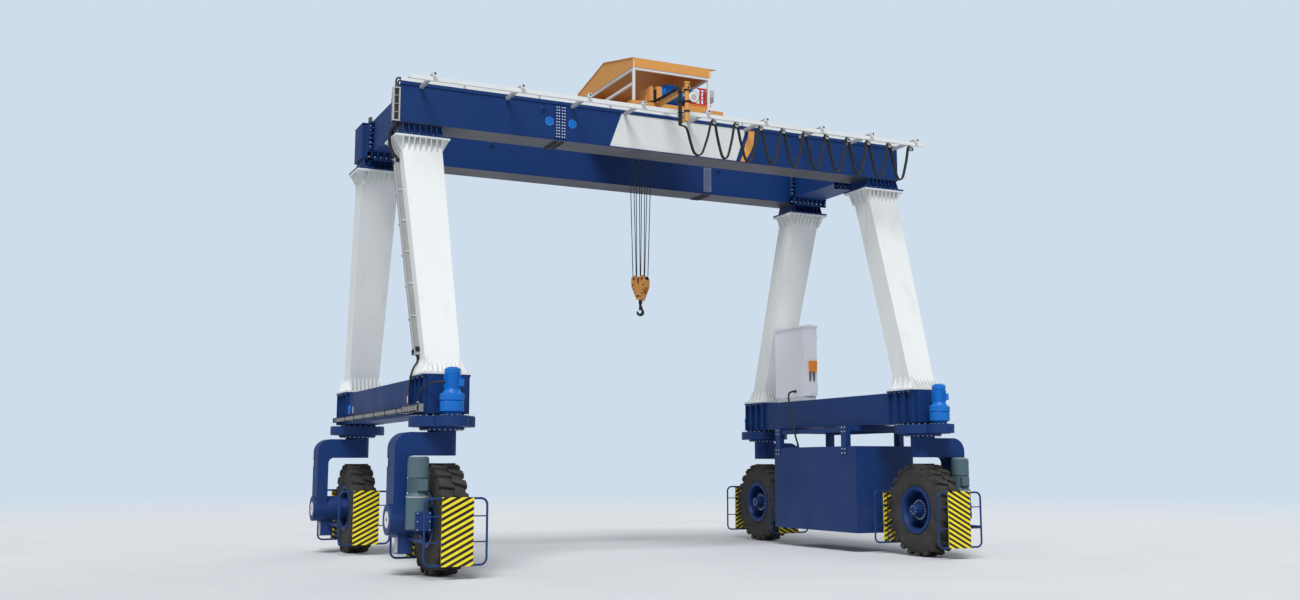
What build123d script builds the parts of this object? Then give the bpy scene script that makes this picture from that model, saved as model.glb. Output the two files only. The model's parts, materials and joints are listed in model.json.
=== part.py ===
from build123d import *
import math
import os
from collections import namedtuple

# Rubber tyred gantry crane: two girders on four splayed legs, two ground beams,
# four steered wheels and a trolley with a rope hoist.
# The frame has X along the girders, Y along the travel and Z up from the ground.

os.makedirs("parts", exist_ok=True)

# Driving dimensions of the gantry, in millimetres
GIRDER_Y = 1542
GIRDER_WIDTH = 690
GIRDER_BOTTOM = 8240
GIRDER_TOP = 8992
GIRDER_HALF_LENGTH = 5720
GIRDER_PLATE = 20
GIRDER_LIP = 18
SPLICE_X = 2490
SPLICE_WIDTH = 215
SPLICE_PLATE = 12
CROSS_BEAM_X = 5145
CROSS_BEAM_WIDTH = 810
CROSS_BEAM_BOTTOM = 8310
CROSS_JOINT_Y = 960
CROSS_JOINT_PLATE = 25
CROSS_JOINT_LIP = 60
JOINT_TOOTH_LENGTH = 130
JOINT_TOOTH_Z = (8370, 8480, 8590, 8700, 8810, 8920)

LEG_TOP_X = 5287
LEG_TOP_Y = GIRDER_Y
LEG_TOP_Z = 8000
LEG_FOOT_X = 5182
LEG_FOOT_Y = 3007
LEG_FOOT_Z = 3425
LEG_TOP_WIDTH = 778
LEG_FOOT_WIDTH = 622
LEG_DEPTH = 555
LEG_FLANGE = 35
TOP_FLANGE_WIDTH = 1046
TOP_FLANGE_DEPTH = 824
FOOT_FLANGE_WIDTH = 848
FOOT_FLANGE_DEPTH = 902
GUSSET_PLATE = 14
GUSSET_HEIGHT = 260

GROUND_BEAM_X = 5180
GROUND_BEAM_WIDTH = 700
GROUND_BEAM_BOTTOM = 2740
GROUND_BEAM_TOP = 3390
GROUND_BEAM_HALF_LENGTH = 3500
RIB_PLATE = 14

# Bogies: the slewing axis stands over each wheel's centre
WHEEL_X = 5180
WHEEL_Y = 3195
HOUSING_RADIUS = 575
HOUSING_HEIGHT = 180
HOUSING_NECK = 40
# Width, length and inset from the beam's end of the plate on each housing
HOUSING_NECK_PLATE = (640, 500, 100)
HOUSING_NOSE_RADIUS = 290
STEER_MOTOR_Y = 3765
# Outline of a steering gear motor: radius and height over its housing
STEER_PROFILE = ((0, 0), (150, 0), (150, 50), (205, 70), (205, 240), (190, 250), (212, 260), (212, 360),
                 (165, 385), (130, 445), (130, 715), (138, 715), (138, 790), (100, 815), (0, 815))
STEER_TERMINAL = (130, 110, 130)
STEER_TERMINAL_PLACE = (105, 70, 560)
STEER_TERMINAL_TURN = 35
BEARING_GAP = 0.3
SLEW_FLANGE_RADIUS = 390
SLEW_FLANGE = 45
ARM_DEPTH = 500
ARM_TOP = 2425
ARM_BEAM_HEIGHT = 397
ARM_OUTER_X = 6062
ARM_POST_WIDTH = 226
ARM_OUTER_RADIUS = 280
ARM_INNER_RADIUS = 120
HUB_RADIUS = 262
HUB_CAP = 48
HUB_END_X = 5520
SHOE_WIDTH = 245
SHOE_X = 5808
SHOE_DEPTH = 220
SHOE_BOTTOM = 380

TYRE_RADIUS = 952.5
TYRE_WIDTH = 500
RIM_SEAT_RADIUS = 425
RIM_FLANGE_RADIUS = 490
LUG_COUNT = 22
LUG_HEIGHT = 42
# Stations across a lug: distance from the tread's middle, offset round it, half thickness
LUG_STATIONS = ((10, 44, 52), (130, 0, 82), (244, -30, 78))
LUG_REACH = 96
LUG_SINK = 42
# The tyre stands on one lug of each row, a quarter of a lug step to either side
WHEEL_Z = TYRE_RADIUS * math.cos(math.radians(90 / LUG_COUNT))

GUARD_Y = 1055
GUARD_SHIFT = 40
GUARD_WIDTH = 1070
GUARD_TOP = 1320
GUARD_BOTTOM = 235
GUARD_TUBE = 19
GUARD_BAR = 11
GUARD_RAIL_HEIGHTS = (610, 1030)
GUARD_CORNER = 110
GUARD_ARM = 50
GUARD_ARM_Z = 630
BOARD_WIDTH = 545
BOARD_PLATE = 8
BOARD_SHIFT = 15

DRIVE_X = 5720
DRIVE_Y = 3700
# Outline of the drive motor: radius and height
DRIVE_PROFILE = ((0, 800), (185, 800), (195, 820), (195, 1360), (165, 1400), (165, 1660), (178, 1660),
                 (178, 1980), (150, 2005), (0, 2005))
# Width, thickness and half height of the pad between the arm and the gear case
DRIVE_PAD = (300, 20, 165)
DRIVE_FOOT = (280, 155)

# Power pack and cabinets on the right ground beam
PACK_INNER_X = 4460
PACK_WIDTH = 1530
PACK_FRONT_Y = -1800
PACK_REAR_Y = 1540
PACK_BOTTOM = 415
PACK_TOP = 2280
HANGER_Y = 1370
HANGER_POST = 110
HANGER_DEPTH = 200
HANGER_STRAP = 12
HANGER_STRAP_LAP = 190
# Lengthwise and cross rails between the hanger's posts: inner and outer side, depth below the beam
HANGER_RAIL = (20, 90, 150, 50)
HANGER_CROSS_RAIL = (100, 120)
CABINET_X = 5015
CABINET_WIDTH = 370
CABINET_FRONT_Y = 760
CABINET_REAR_Y = 2050
CABINET_BOTTOM = 3500
CABINET_TOP = 5150
CABINET_PLINTH_INSET = 30
LID_LAP = 30
LID_RISE = (25, 60)
ALARM_X = CABINET_X + 30
ALARM_SIZE = (170, 110)
ALARM_Z = (4080, 4330)
ALARM_HOOK_Z = 3850
ALARM_HOOK_PLACES = (-55, 55)
ALARM_HOOK = (20, 30)

# Held cables and their trays
CABLE_RADIUS = 14
TRAY_X = (5598, 5660)
TRAY_Y = (-2390, 3480)
TRAY_Z = (2790, 2885)
TRAY_BRACKET_Y = (-2150, -1000, 0, 1000, 2150)
TRAY_BRACKET = 50
JUNCTION_BOX_Y = (-3490, -2400)
JUNCTION_BOX_Z = (2770, 2905)
LEG_CHANNEL_Z = (3790, 7600)
LEG_CHANNEL_SHIFT = 100
LEG_CHANNEL = (90, 40)
END_TRAY = (140, 70)
END_TRAY_Z = (8270, 8890)
TOP_TRAY = (60, 45)

# Trolley, hoist and festoon
RAIL_WIDTH = 60
RAIL_HEIGHT = 55
RAIL_HALF_LENGTH = 5450
RAIL_STOP = (60, 120, 220)
TROLLEY_X = 245
TROLLEY_LENGTH = 2170
TROLLEY_BEAM_WIDTH = 220
TROLLEY_BEAM_HEIGHT = 230
TROLLEY_BEAM_TOP = 9360
TROLLEY_WHEEL_RADIUS = 130
TROLLEY_WHEELBASE = 1560
TROLLEY_CROSS_X = (-560, 1010)
TROLLEY_CROSS_WIDTH = 180
CANOPY_X = (-690, 1085)
CANOPY_Y = 1450
CANOPY_POST = 50
CANOPY_EAVE = 10130
CANOPY_POST_DROP = 20
CANOPY_MID_RAIL_Z = 9785
GABLE_DROP = 6
ROOF_X = (-745, 1260)
ROOF_EAVE = 10330
ROOF_RIDGE = 10650
ROOF_SHEET = 12
ROPE_X = 160
ROPE_RADIUS = 9
ROPE_PLACES = (-290, -210, -120, -40, 40, 120, 210, 290)
DRUM_RADIUS = 190
DRUM_LENGTH = 900
DRUM_FLANGE = 45
DRUM_Y = DRUM_RADIUS + ROPE_RADIUS + BEARING_GAP
DRUM_Z = 9640
# The hook block hangs turned from the girders' line by this angle, seen from above
BLOCK_TURN = -46
BLOCK_BOTTOM = 5425
BLOCK_NECK = 40
BLOCK_HALF_WIDTH = 158
BLOCK_WIDEST_Z = 5720
BLOCK_INNER_HALF = 125
CHEEK_PLATE = 20
LOBE_PLACE = 82
LOBE_Z = 5872
LOBE_RADIUS = 78
SHEAVE_PLACE = 90
SHEAVE_Z = 5905
SHEAVE_ROW = 100
SHEAVE_RADIUS = 54
SHEAVE_GROOVE = 36
SHEAVE_WIDTH = 40
SHEAVE_GROOVE_WIDTH = 26
PIN_RADIUS = 22
BOSS = (34, 12)
BOSS_DROP = 25
SPACER = (146, 156)
SPACER_Z = (5700, 5865)
BLOCK_FOOT_TOP = 5560
HOOK_Z = 5160
HOOK_RADIUS = 84
HOOK_MOUTH_RADIUS = 38
HOOK_MOUTH_SHIFT = (-10, 12)
HOOK_HALF_THICKNESS = 26
HOOK_ROUNDING = 10
HOOK_SHANK_RADIUS = 27
HOOK_SHANK_TOP = 150
HOOK_OPENING = ((-10, 12), (-120, 40), (-120, 140), (-34, 140), (-34, 60))
FESTOON_Y = 2700
FESTOON_TOP = 8925
FESTOON_RAIL_X = (-5760, 5800)
FESTOON_RAIL = (60, 80)
FESTOON_GROOVE = (16, 20)
BRACKET_X = (-5330, -3620, -2250, -1090, 360, 1730, 3110, 4380, 5570)
BRACKET_WIDTH = 60
BRACKET_REACH = 120
CARRIER_X = (-198, 512, 1039, 1618, 2161, 2701, 3242, 3785, 4311, 4864, 5432)
CARRIER_Z = 8760
CARRIER_RADIUS = 52
CARRIER_PLATE = (50, 30)
FESTOON_BAND = (56, 14)
LOOP_BOTTOM = 8055
# One side of a loop: share of its half width from its middle, share of its depth
LOOP_SHAPE = ((0.0, 0.835), (0.30, 0.72), (0.68, 0.47), (1.01, 0.22))
TOW_ARM_X = -225
TOW_ARM = (80, 80)
TOW_POLE_Y = 2955
TOW_POLE_Z = (8651, 9436)
TOW_POLE_RADIUS = 45
TOW_RING = (55, 36)
TOW_RING_Z = (8846, 9042, 9278)
PANEL_CORNERS = ((-1415, 8262), (-1153, 8965), (1760, 8965), (1510, 8262))
PANEL_PLATE = 4

Corner = namedtuple("Corner", "name side end driven")
CORNERS = (
    Corner("front_left", -1, -1, True),
    Corner("front_right", 1, -1, True),
    Corner("rear_left", -1, 1, False),
    Corner("rear_right", 1, 1, False),
)
SIDES = (-1, 1)
ENDS = (-1, 1)


def save(builder, name):
    """Labels the finished piece and writes it as one STEP file."""
    builder.part.label = name
    export_step(builder.part, f"parts/{name}.step")


def block(x_limits, y_limits, z_limits, mode=Mode.ADD):
    """Adds an upright box between three pairs of limits to the piece being built."""
    limits = (x_limits, y_limits, z_limits)
    centre = tuple((low + high) / 2 for low, high in limits)
    size = tuple(abs(high - low) for low, high in limits)
    with Locations(centre):
        Box(*size, mode=mode)


def about(centre, width):
    """Gives the limits of a width about its centre."""
    return (centre - width / 2, centre + width / 2)


def cross_plane(x):
    """Gives the plane across X at x, with Y to its right and Z up."""
    return Plane(origin=(x, 0, 0), x_dir=(0, 1, 0), z_dir=(1, 0, 0))


def side_plane(y):
    """Gives the plane across Y at y, with X to its right and Z up."""
    return Plane(origin=(0, y, 0), x_dir=(1, 0, 0), z_dir=(0, -1, 0))


def cylinder_along(axis, centre, radius, length):
    """Adds a cylinder along a world axis about its centre."""
    turns = {"X": (0, 90, 0), "Y": (90, 0, 0), "Z": (0, 0, 0)}
    with Locations(Location(centre, turns[axis])):
        Cylinder(radius, length)


def gussets(planes, points):
    """Adds a row of thin gusset plates, with the same outline in each of the planes."""
    with BuildSketch(*planes) as outline:
        with BuildLine():
            Polyline(*points, close=True)
        make_face()
    extrude(outline.sketch, amount=GUSSET_PLATE / 2, both=True)


def spread(count, reach):
    """Gives places spaced evenly from -reach to reach."""
    return [reach * (2 * index / (count - 1) - 1) for index in range(count)]


def cable_route(points):
    """Gives a cable's path: straight runs between the points, joined by arcs as large as the runs allow."""
    runs = [Vector(*after) - Vector(*before) for before, after in zip(points, points[1:])]
    radii = []
    for before, after in zip(runs, runs[1:]):
        half_turn = math.radians(before.get_angle(after)) / 2
        radii.append(0.45 * min(before.length, after.length) / math.tan(half_turn))
    with BuildLine() as route:
        FilletPolyline(*points, radius=radii)
    return route.line


def leg_x(z):
    """Gives the distance of a leg's centre line from the crane's middle along X."""
    share = (LEG_TOP_Z - z) / (LEG_TOP_Z - LEG_FOOT_Z)
    return LEG_TOP_X + share * (LEG_FOOT_X - LEG_TOP_X)


def leg_y(z):
    """Gives the distance of a leg's centre line from the crane's middle along Y."""
    share = (LEG_TOP_Z - z) / (LEG_TOP_Z - LEG_FOOT_Z)
    return LEG_TOP_Y + share * (LEG_FOOT_Y - LEG_TOP_Y)


def leg_width(z):
    """Gives a leg's width along X at a height."""
    share = (LEG_TOP_Z - z) / (LEG_TOP_Z - LEG_FOOT_Z)
    return LEG_TOP_WIDTH + share * (LEG_FOOT_WIDTH - LEG_TOP_WIDTH)


def flare(side, end, plate_z, direction, flange_width, flange_depth, counts):
    """Adds the ring of gussets that braces a leg against one of its end plates."""
    tip_z = plate_z + direction * GUSSET_HEIGHT
    x, y = leg_x(plate_z), leg_y(plate_z)
    sunk = 3 * GUSSET_PLATE
    half_width = leg_width(plate_z) / 2
    planes = [cross_plane(side * (x + place)) for place in spread(counts[0], half_width - GUSSET_PLATE)]
    for face in (-1, 1):
        root = y + face * (LEG_DEPTH / 2 - sunk)
        tip_root = leg_y(tip_z) + face * (LEG_DEPTH / 2 - sunk)
        edge = y + face * flange_depth / 2
        tip = leg_y(tip_z) + face * LEG_DEPTH / 2
        outline = ((root, plate_z), (edge, plate_z), (tip, tip_z), (tip_root, tip_z))
        gussets(planes, [(end * a, b) for a, b in outline])
    planes = [side_plane(end * (y + place)) for place in spread(counts[1], LEG_DEPTH / 2 - GUSSET_PLATE)]
    for face in (-1, 1):
        root = x + face * (half_width - sunk)
        edge = x + face * flange_width / 2
        tip = leg_x(tip_z) + face * leg_width(tip_z) / 2
        tip_root = leg_x(tip_z) + face * (leg_width(tip_z) / 2 - sunk)
        outline = ((root, plate_z), (edge, plate_z), (tip, tip_z), (tip_root, tip_z))
        gussets(planes, [(side * a, b) for a, b in outline])


# Girders with their splices and the stubs that stand on the legs
def girder(end, name):
    """Builds one box girder with wide flanges, the splice of its two lengths and two leg stubs."""
    y = end * GIRDER_Y
    web_half = GIRDER_WIDTH / 2 - GIRDER_LIP
    length = (-GIRDER_HALF_LENGTH, GIRDER_HALF_LENGTH)
    with BuildPart() as beam:
        block(length, about(y, 2 * web_half), (GIRDER_BOTTOM, GIRDER_TOP))
        block(length, about(y, GIRDER_WIDTH), (GIRDER_BOTTOM, GIRDER_BOTTOM + GIRDER_PLATE))
        block(length, about(y, GIRDER_WIDTH), (GIRDER_TOP - GIRDER_PLATE, GIRDER_TOP))
        splice = about(end * SPLICE_X, SPLICE_WIDTH)
        web_plate = (GIRDER_BOTTOM + 2 * GIRDER_PLATE, GIRDER_TOP - 2 * GIRDER_PLATE)
        block(splice, about(y, 2 * (web_half + SPLICE_PLATE)), web_plate)
        block(splice, about(y, GIRDER_WIDTH), (GIRDER_BOTTOM - SPLICE_PLATE, GIRDER_BOTTOM))
        for side in SIDES:
            stub_x = side * LEG_TOP_X
            stub = (LEG_TOP_Z + LEG_FLANGE, GIRDER_BOTTOM)
            block(about(stub_x, LEG_TOP_WIDTH), about(y, LEG_DEPTH), stub)
            block(about(stub_x, TOP_FLANGE_WIDTH), about(y, TOP_FLANGE_DEPTH),
                  (LEG_TOP_Z, LEG_TOP_Z + LEG_FLANGE))
            planes = [cross_plane(stub_x + place) for place in spread(8, LEG_TOP_WIDTH / 2 - GUSSET_PLATE)]
            for face in (-1, 1):
                outline = ((LEG_DEPTH / 2 - GUSSET_PLATE, stub[0]), (TOP_FLANGE_DEPTH / 2, stub[0]),
                           (web_half, stub[1]), (LEG_DEPTH / 2 - GUSSET_PLATE, stub[1]))
                gussets(planes, [(y + face * a, b) for a, b in outline])
    save(beam, name)


girder(-1, "girder_front")
girder(1, "girder_rear")

# Cross beams: three lengths at each end, joined by ribbed flanges
with BuildPart() as cross_beams:
    inner_web = GIRDER_Y - GIRDER_WIDTH / 2 + GIRDER_LIP
    for side in SIDES:
        x = side * CROSS_BEAM_X
        block(about(x, CROSS_BEAM_WIDTH), (-inner_web, inner_web),
              (CROSS_BEAM_BOTTOM, GIRDER_TOP - GIRDER_PLATE))
        for end in ENDS:
            joint = about(end * CROSS_JOINT_Y, 2 * CROSS_JOINT_PLATE)
            block(about(x, CROSS_BEAM_WIDTH + 2 * CROSS_JOINT_LIP), joint,
                  (CROSS_BEAM_BOTTOM - CROSS_JOINT_LIP, GIRDER_TOP - GIRDER_PLATE))
        lip = (-inner_web + GIRDER_LIP, inner_web - GIRDER_LIP)
        block(about(x, CROSS_BEAM_WIDTH), lip, (GIRDER_TOP - GIRDER_PLATE, GIRDER_TOP))
        tooth_planes = [Plane.XY.offset(z) for z in JOINT_TOOTH_Z]
        for face in (-1, 1):
            web = x + face * CROSS_BEAM_WIDTH / 2
            edge = web + face * CROSS_JOINT_LIP
            for joint_y, toward in ((end * CROSS_JOINT_Y, way) for end in ENDS for way in (-1, 1)):
                root = joint_y + toward * CROSS_JOINT_PLATE
                tip = root + toward * JOINT_TOOTH_LENGTH
                gussets(tooth_planes, ((web - face * GUSSET_PLATE, root), (edge, root), (web, tip),
                                       (web - face * GUSSET_PLATE, tip)))
save(cross_beams, "cross_beams")

# Rails that the trolley rolls on, with a stop at each end
with BuildPart() as rails:
    for end in ENDS:
        y = end * GIRDER_Y
        block((-RAIL_HALF_LENGTH, RAIL_HALF_LENGTH), about(y, RAIL_WIDTH),
              (GIRDER_TOP, GIRDER_TOP + RAIL_HEIGHT))
        for side in SIDES:
            stop_x = (side * RAIL_HALF_LENGTH, side * (RAIL_HALF_LENGTH + RAIL_STOP[0]))
            block(stop_x, about(y, RAIL_STOP[1]), (GIRDER_TOP, GIRDER_TOP + RAIL_STOP[2]))
save(rails, "trolley_rails")


def leg(side, end, name):
    """Builds one tapered, splayed leg with its two braced end plates."""
    low_z = LEG_FOOT_Z + LEG_FLANGE
    high_z = LEG_TOP_Z - LEG_FLANGE
    with BuildPart() as post:
        for z in (low_z, high_z):
            with BuildSketch(Plane.XY.offset(z)):
                with Locations((side * leg_x(z), end * leg_y(z))):
                    Rectangle(leg_width(z), LEG_DEPTH)
        loft(ruled=True)
        block(about(side * LEG_TOP_X, TOP_FLANGE_WIDTH), about(end * LEG_TOP_Y, TOP_FLANGE_DEPTH),
              (high_z, LEG_TOP_Z))
        block(about(side * LEG_FOOT_X, FOOT_FLANGE_WIDTH), about(end * LEG_FOOT_Y, FOOT_FLANGE_DEPTH),
              (LEG_FOOT_Z, low_z))
        flare(side, end, high_z, -1, TOP_FLANGE_WIDTH, TOP_FLANGE_DEPTH, (8, 4))
        flare(side, end, low_z, 1, FOOT_FLANGE_WIDTH, FOOT_FLANGE_DEPTH, (8, 4))
    save(post, name)


for corner in CORNERS:
    leg(corner.side, corner.end, f"leg_{corner.name}")

# Ground beams with end plates, leg seats and the ribs below the seats
with BuildPart() as ground_beams:
    for side in SIDES:
        x = side * GROUND_BEAM_X
        block(about(x, GROUND_BEAM_WIDTH), (-GROUND_BEAM_HALF_LENGTH, GROUND_BEAM_HALF_LENGTH),
              (GROUND_BEAM_BOTTOM, GROUND_BEAM_TOP))
        for end in ENDS:
            seat_y = end * LEG_FOOT_Y
            seat = (GROUND_BEAM_TOP, LEG_FOOT_Z)
            block(about(side * LEG_FOOT_X, FOOT_FLANGE_WIDTH), about(seat_y, FOOT_FLANGE_DEPTH), seat)
            for place in spread(4, FOOT_FLANGE_DEPTH / 2 - 2 * RIB_PLATE):
                block(about(side * LEG_FOOT_X, FOOT_FLANGE_WIDTH - 20), about(seat_y + place, RIB_PLATE),
                      (GROUND_BEAM_BOTTOM, GROUND_BEAM_TOP))
save(ground_beams, "ground_beams")

# Slewing housings under the ends of the ground beams
HOUSING_TOP = GROUND_BEAM_BOTTOM - HOUSING_NECK
HOUSING_BOTTOM = HOUSING_TOP - HOUSING_HEIGHT
with BuildPart() as housings:
    for corner in CORNERS:
        x, y = corner.side * WHEEL_X, corner.end * WHEEL_Y
        nose_y = corner.end * STEER_MOTOR_Y
        with BuildSketch(Plane.XY.offset(HOUSING_BOTTOM)):
            with Locations((x, y)):
                Circle(HOUSING_RADIUS)
            with Locations((x, nose_y)):
                Circle(HOUSING_NOSE_RADIUS)
            with Locations((x, (y + nose_y) / 2)):
                Rectangle(2 * HOUSING_NOSE_RADIUS, abs(nose_y - y))
        extrude(amount=HOUSING_HEIGHT)
        neck_width, neck_length, neck_inset = HOUSING_NECK_PLATE
        neck_y = corner.end * (GROUND_BEAM_HALF_LENGTH - neck_length / 2 - neck_inset)
        block(about(x, neck_width), about(neck_y, neck_length), (HOUSING_TOP, GROUND_BEAM_BOTTOM))
save(housings, "slew_housings")

# Steering gear motors on the noses of the housings
with BuildPart() as steering:
    for corner in CORNERS:
        x, y = corner.side * WHEEL_X, corner.end * STEER_MOTOR_Y
        axis_plane = Plane(origin=(x, y, HOUSING_TOP), x_dir=(1, 0, 0), z_dir=(0, -1, 0))
        with BuildSketch(axis_plane):
            with BuildLine():
                Polyline(*STEER_PROFILE, close=True)
            make_face()
        revolve(axis=Axis((x, y, 0), (0, 0, 1)))
        out, along, up = STEER_TERMINAL_PLACE
        spot = (x + out, y + corner.end * along, HOUSING_TOP + up)
        with Locations(Location(spot, (0, 0, corner.end * STEER_TERMINAL_TURN))):
            Box(*STEER_TERMINAL)
save(steering, "steering_motors")


def wheel_arm(side, end, driven, name):
    """Builds the bent arm that carries one wheel on its outer side."""
    y = end * WHEEL_Y
    hub_z = WHEEL_Z
    neck_top = HOUSING_BOTTOM - BEARING_GAP
    with BuildPart() as arm:
        with BuildSketch(side_plane(y)):
            with BuildLine():
                outer_x, inner_x = side * ARM_OUTER_X, side * (ARM_OUTER_X - ARM_POST_WIDTH)
                Polyline((side * WHEEL_X, ARM_TOP), (outer_x, ARM_TOP), (outer_x, hub_z), (inner_x, hub_z),
                         (inner_x, ARM_TOP - ARM_BEAM_HEIGHT), (side * WHEEL_X, ARM_TOP - ARM_BEAM_HEIGHT),
                         close=True)
            make_face()
        extrude(amount=ARM_DEPTH / 2, both=True)
        upright = arm.edges().filter_by(Axis.Y)
        outer_corner = upright.group_by(Axis.Z)[-1].sort_by(lambda edge: abs(edge.center().X))[-1]
        fillet(outer_corner, ARM_OUTER_RADIUS)
        upright = arm.edges().filter_by(Axis.Y)
        inner_corner = [edge for edge in upright
                        if abs(abs(edge.center().X) - (ARM_OUTER_X - ARM_POST_WIDTH)) < 1
                        and edge.center().Z > hub_z + 1]
        fillet(inner_corner, ARM_INNER_RADIUS)
        neck_height = neck_top - (ARM_TOP - ARM_BEAM_HEIGHT)
        cylinder_along("Z", (side * WHEEL_X, y, neck_top - neck_height / 2), ARM_DEPTH / 2, neck_height)
        cylinder_along("Z", (side * WHEEL_X, y, neck_top - SLEW_FLANGE / 2), SLEW_FLANGE_RADIUS, SLEW_FLANGE)
        hub_outer = ARM_OUTER_X + HUB_CAP
        cylinder_along("X", (side * (hub_outer + HUB_END_X) / 2, y, hub_z), HUB_RADIUS, hub_outer - HUB_END_X)
        block(about(side * SHOE_X, SHOE_WIDTH), about(y, SHOE_DEPTH), (SHOE_BOTTOM, hub_z))
        if driven:
            pad_y = end * (WHEEL_Y + HUB_RADIUS + DRIVE_PAD[1])
            block(about(side * DRIVE_X, DRIVE_PAD[0]), (y, pad_y), about(hub_z, 2 * DRIVE_PAD[2]))
    save(arm, name)


def guard_path(x, y):
    """Gives the rounded loop that a guard's outer tube follows."""
    half = GUARD_WIDTH / 2
    corners = ((x - half, y, GUARD_BOTTOM), (x + half, y, GUARD_BOTTOM),
               (x + half, y, GUARD_TOP), (x - half, y, GUARD_TOP))
    return FilletPolyline(*corners, radius=GUARD_CORNER, close=True)


def guard_frames(side, end, name):
    """Builds the tube frames before and behind one wheel, with the bars that carry them."""
    x = side * (WHEEL_X + GUARD_SHIFT)
    outer_x = x + side * GUARD_WIDTH / 2
    board_x = side * (WHEEL_X + BOARD_SHIFT)
    with BuildPart() as frames:
        for face in (-1, 1):
            y = end * WHEEL_Y + face * GUARD_Y
            with BuildLine() as loop:
                guard_path(x, y)
            start = loop.line @ 0
            with BuildSketch(Plane(origin=start, z_dir=loop.line % 0)):
                Circle(GUARD_TUBE)
            sweep(path=loop.line)
            for height in GUARD_RAIL_HEIGHTS:
                cylinder_along("X", (x, y, height), GUARD_BAR, GUARD_WIDTH)
            for place in (-BOARD_WIDTH / 3, BOARD_WIDTH / 3):
                cylinder_along("Z", (board_x + place, y, (GUARD_TOP + GUARD_BOTTOM) / 2), GUARD_BAR,
                               GUARD_TOP - GUARD_BOTTOM)
            shoe_face = end * WHEEL_Y + face * SHOE_DEPTH / 2
            tube_face = y - face * (GUARD_TUBE + BEARING_GAP)
            block(about(outer_x, GUARD_ARM), (shoe_face, tube_face), about(GUARD_ARM_Z, GUARD_ARM))
    save(frames, name)


def guard_boards(side, end, name):
    """Builds the two warning boards of one wheel's guards."""
    board_x = side * (WHEEL_X + BOARD_SHIFT)
    with BuildPart() as boards:
        for face in (-1, 1):
            y = end * WHEEL_Y + face * (GUARD_Y + GUARD_TUBE)
            block(about(board_x, BOARD_WIDTH), (y, y + face * BOARD_PLATE),
                  (GUARD_BOTTOM - GUARD_TUBE, GUARD_TOP + GUARD_TUBE))
    save(boards, name)


def drive_motor(side, end, name):
    """Builds the upright drive motor and gear case on the front of a driven arm."""
    x, y = side * DRIVE_X, end * DRIVE_Y
    pad_y = end * (WHEEL_Y + HUB_RADIUS + DRIVE_PAD[1])
    with BuildPart() as motor:
        with BuildSketch(side_plane(y)):
            with BuildLine():
                Polyline(*[(x + radius, height) for radius, height in DRIVE_PROFILE], close=True)
            make_face()
        revolve(axis=Axis((x, y, 0), (0, 0, 1)))
        block(about(x, DRIVE_FOOT[0]), (pad_y, y), about(WHEEL_Z, 2 * DRIVE_FOOT[1]))
    save(motor, name)


def rim(side, end, name):
    """Builds one dished rim with its disc, bolted hub and cap."""
    centre = (side * WHEEL_X, end * WHEEL_Y, WHEEL_Z)
    half = TYRE_WIDTH / 2
    axis_plane = Plane(origin=centre, x_dir=(side, 0, 0), z_dir=(0, -side, 0))
    shaft_end = HUB_END_X - BEARING_GAP - WHEEL_X
    seat_inner = RIM_SEAT_RADIUS - 35
    with BuildPart() as wheel:
        with BuildSketch(axis_plane):
            with BuildLine():
                Polyline((-half + 5, RIM_FLANGE_RADIUS), (-half + 25, RIM_FLANGE_RADIUS),
                         (-half + 25, RIM_SEAT_RADIUS + 10), (-half + 70, RIM_SEAT_RADIUS - 10),
                         (half - 70, RIM_SEAT_RADIUS - 10), (half - 25, RIM_SEAT_RADIUS + 10),
                         (half - 25, RIM_FLANGE_RADIUS), (half - 5, RIM_FLANGE_RADIUS),
                         (half - 5, RIM_SEAT_RADIUS - 10), (half - 70, seat_inner),
                         (-half + 70, seat_inner), (-half + 5, RIM_SEAT_RADIUS - 10), close=True)
            make_face()
            with BuildLine():
                Polyline((shaft_end, 0), (shaft_end, 200), (90, 200), (90, 290), (130, seat_inner + 4),
                         (100, seat_inner + 4), (60, 290), (60, 225), (-20, 215), (-20, 130), (-110, 120),
                         (-110, 0), close=True)
            make_face()
        revolve(axis=Axis(centre, (1, 0, 0)))
    save(wheel, name)


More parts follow.
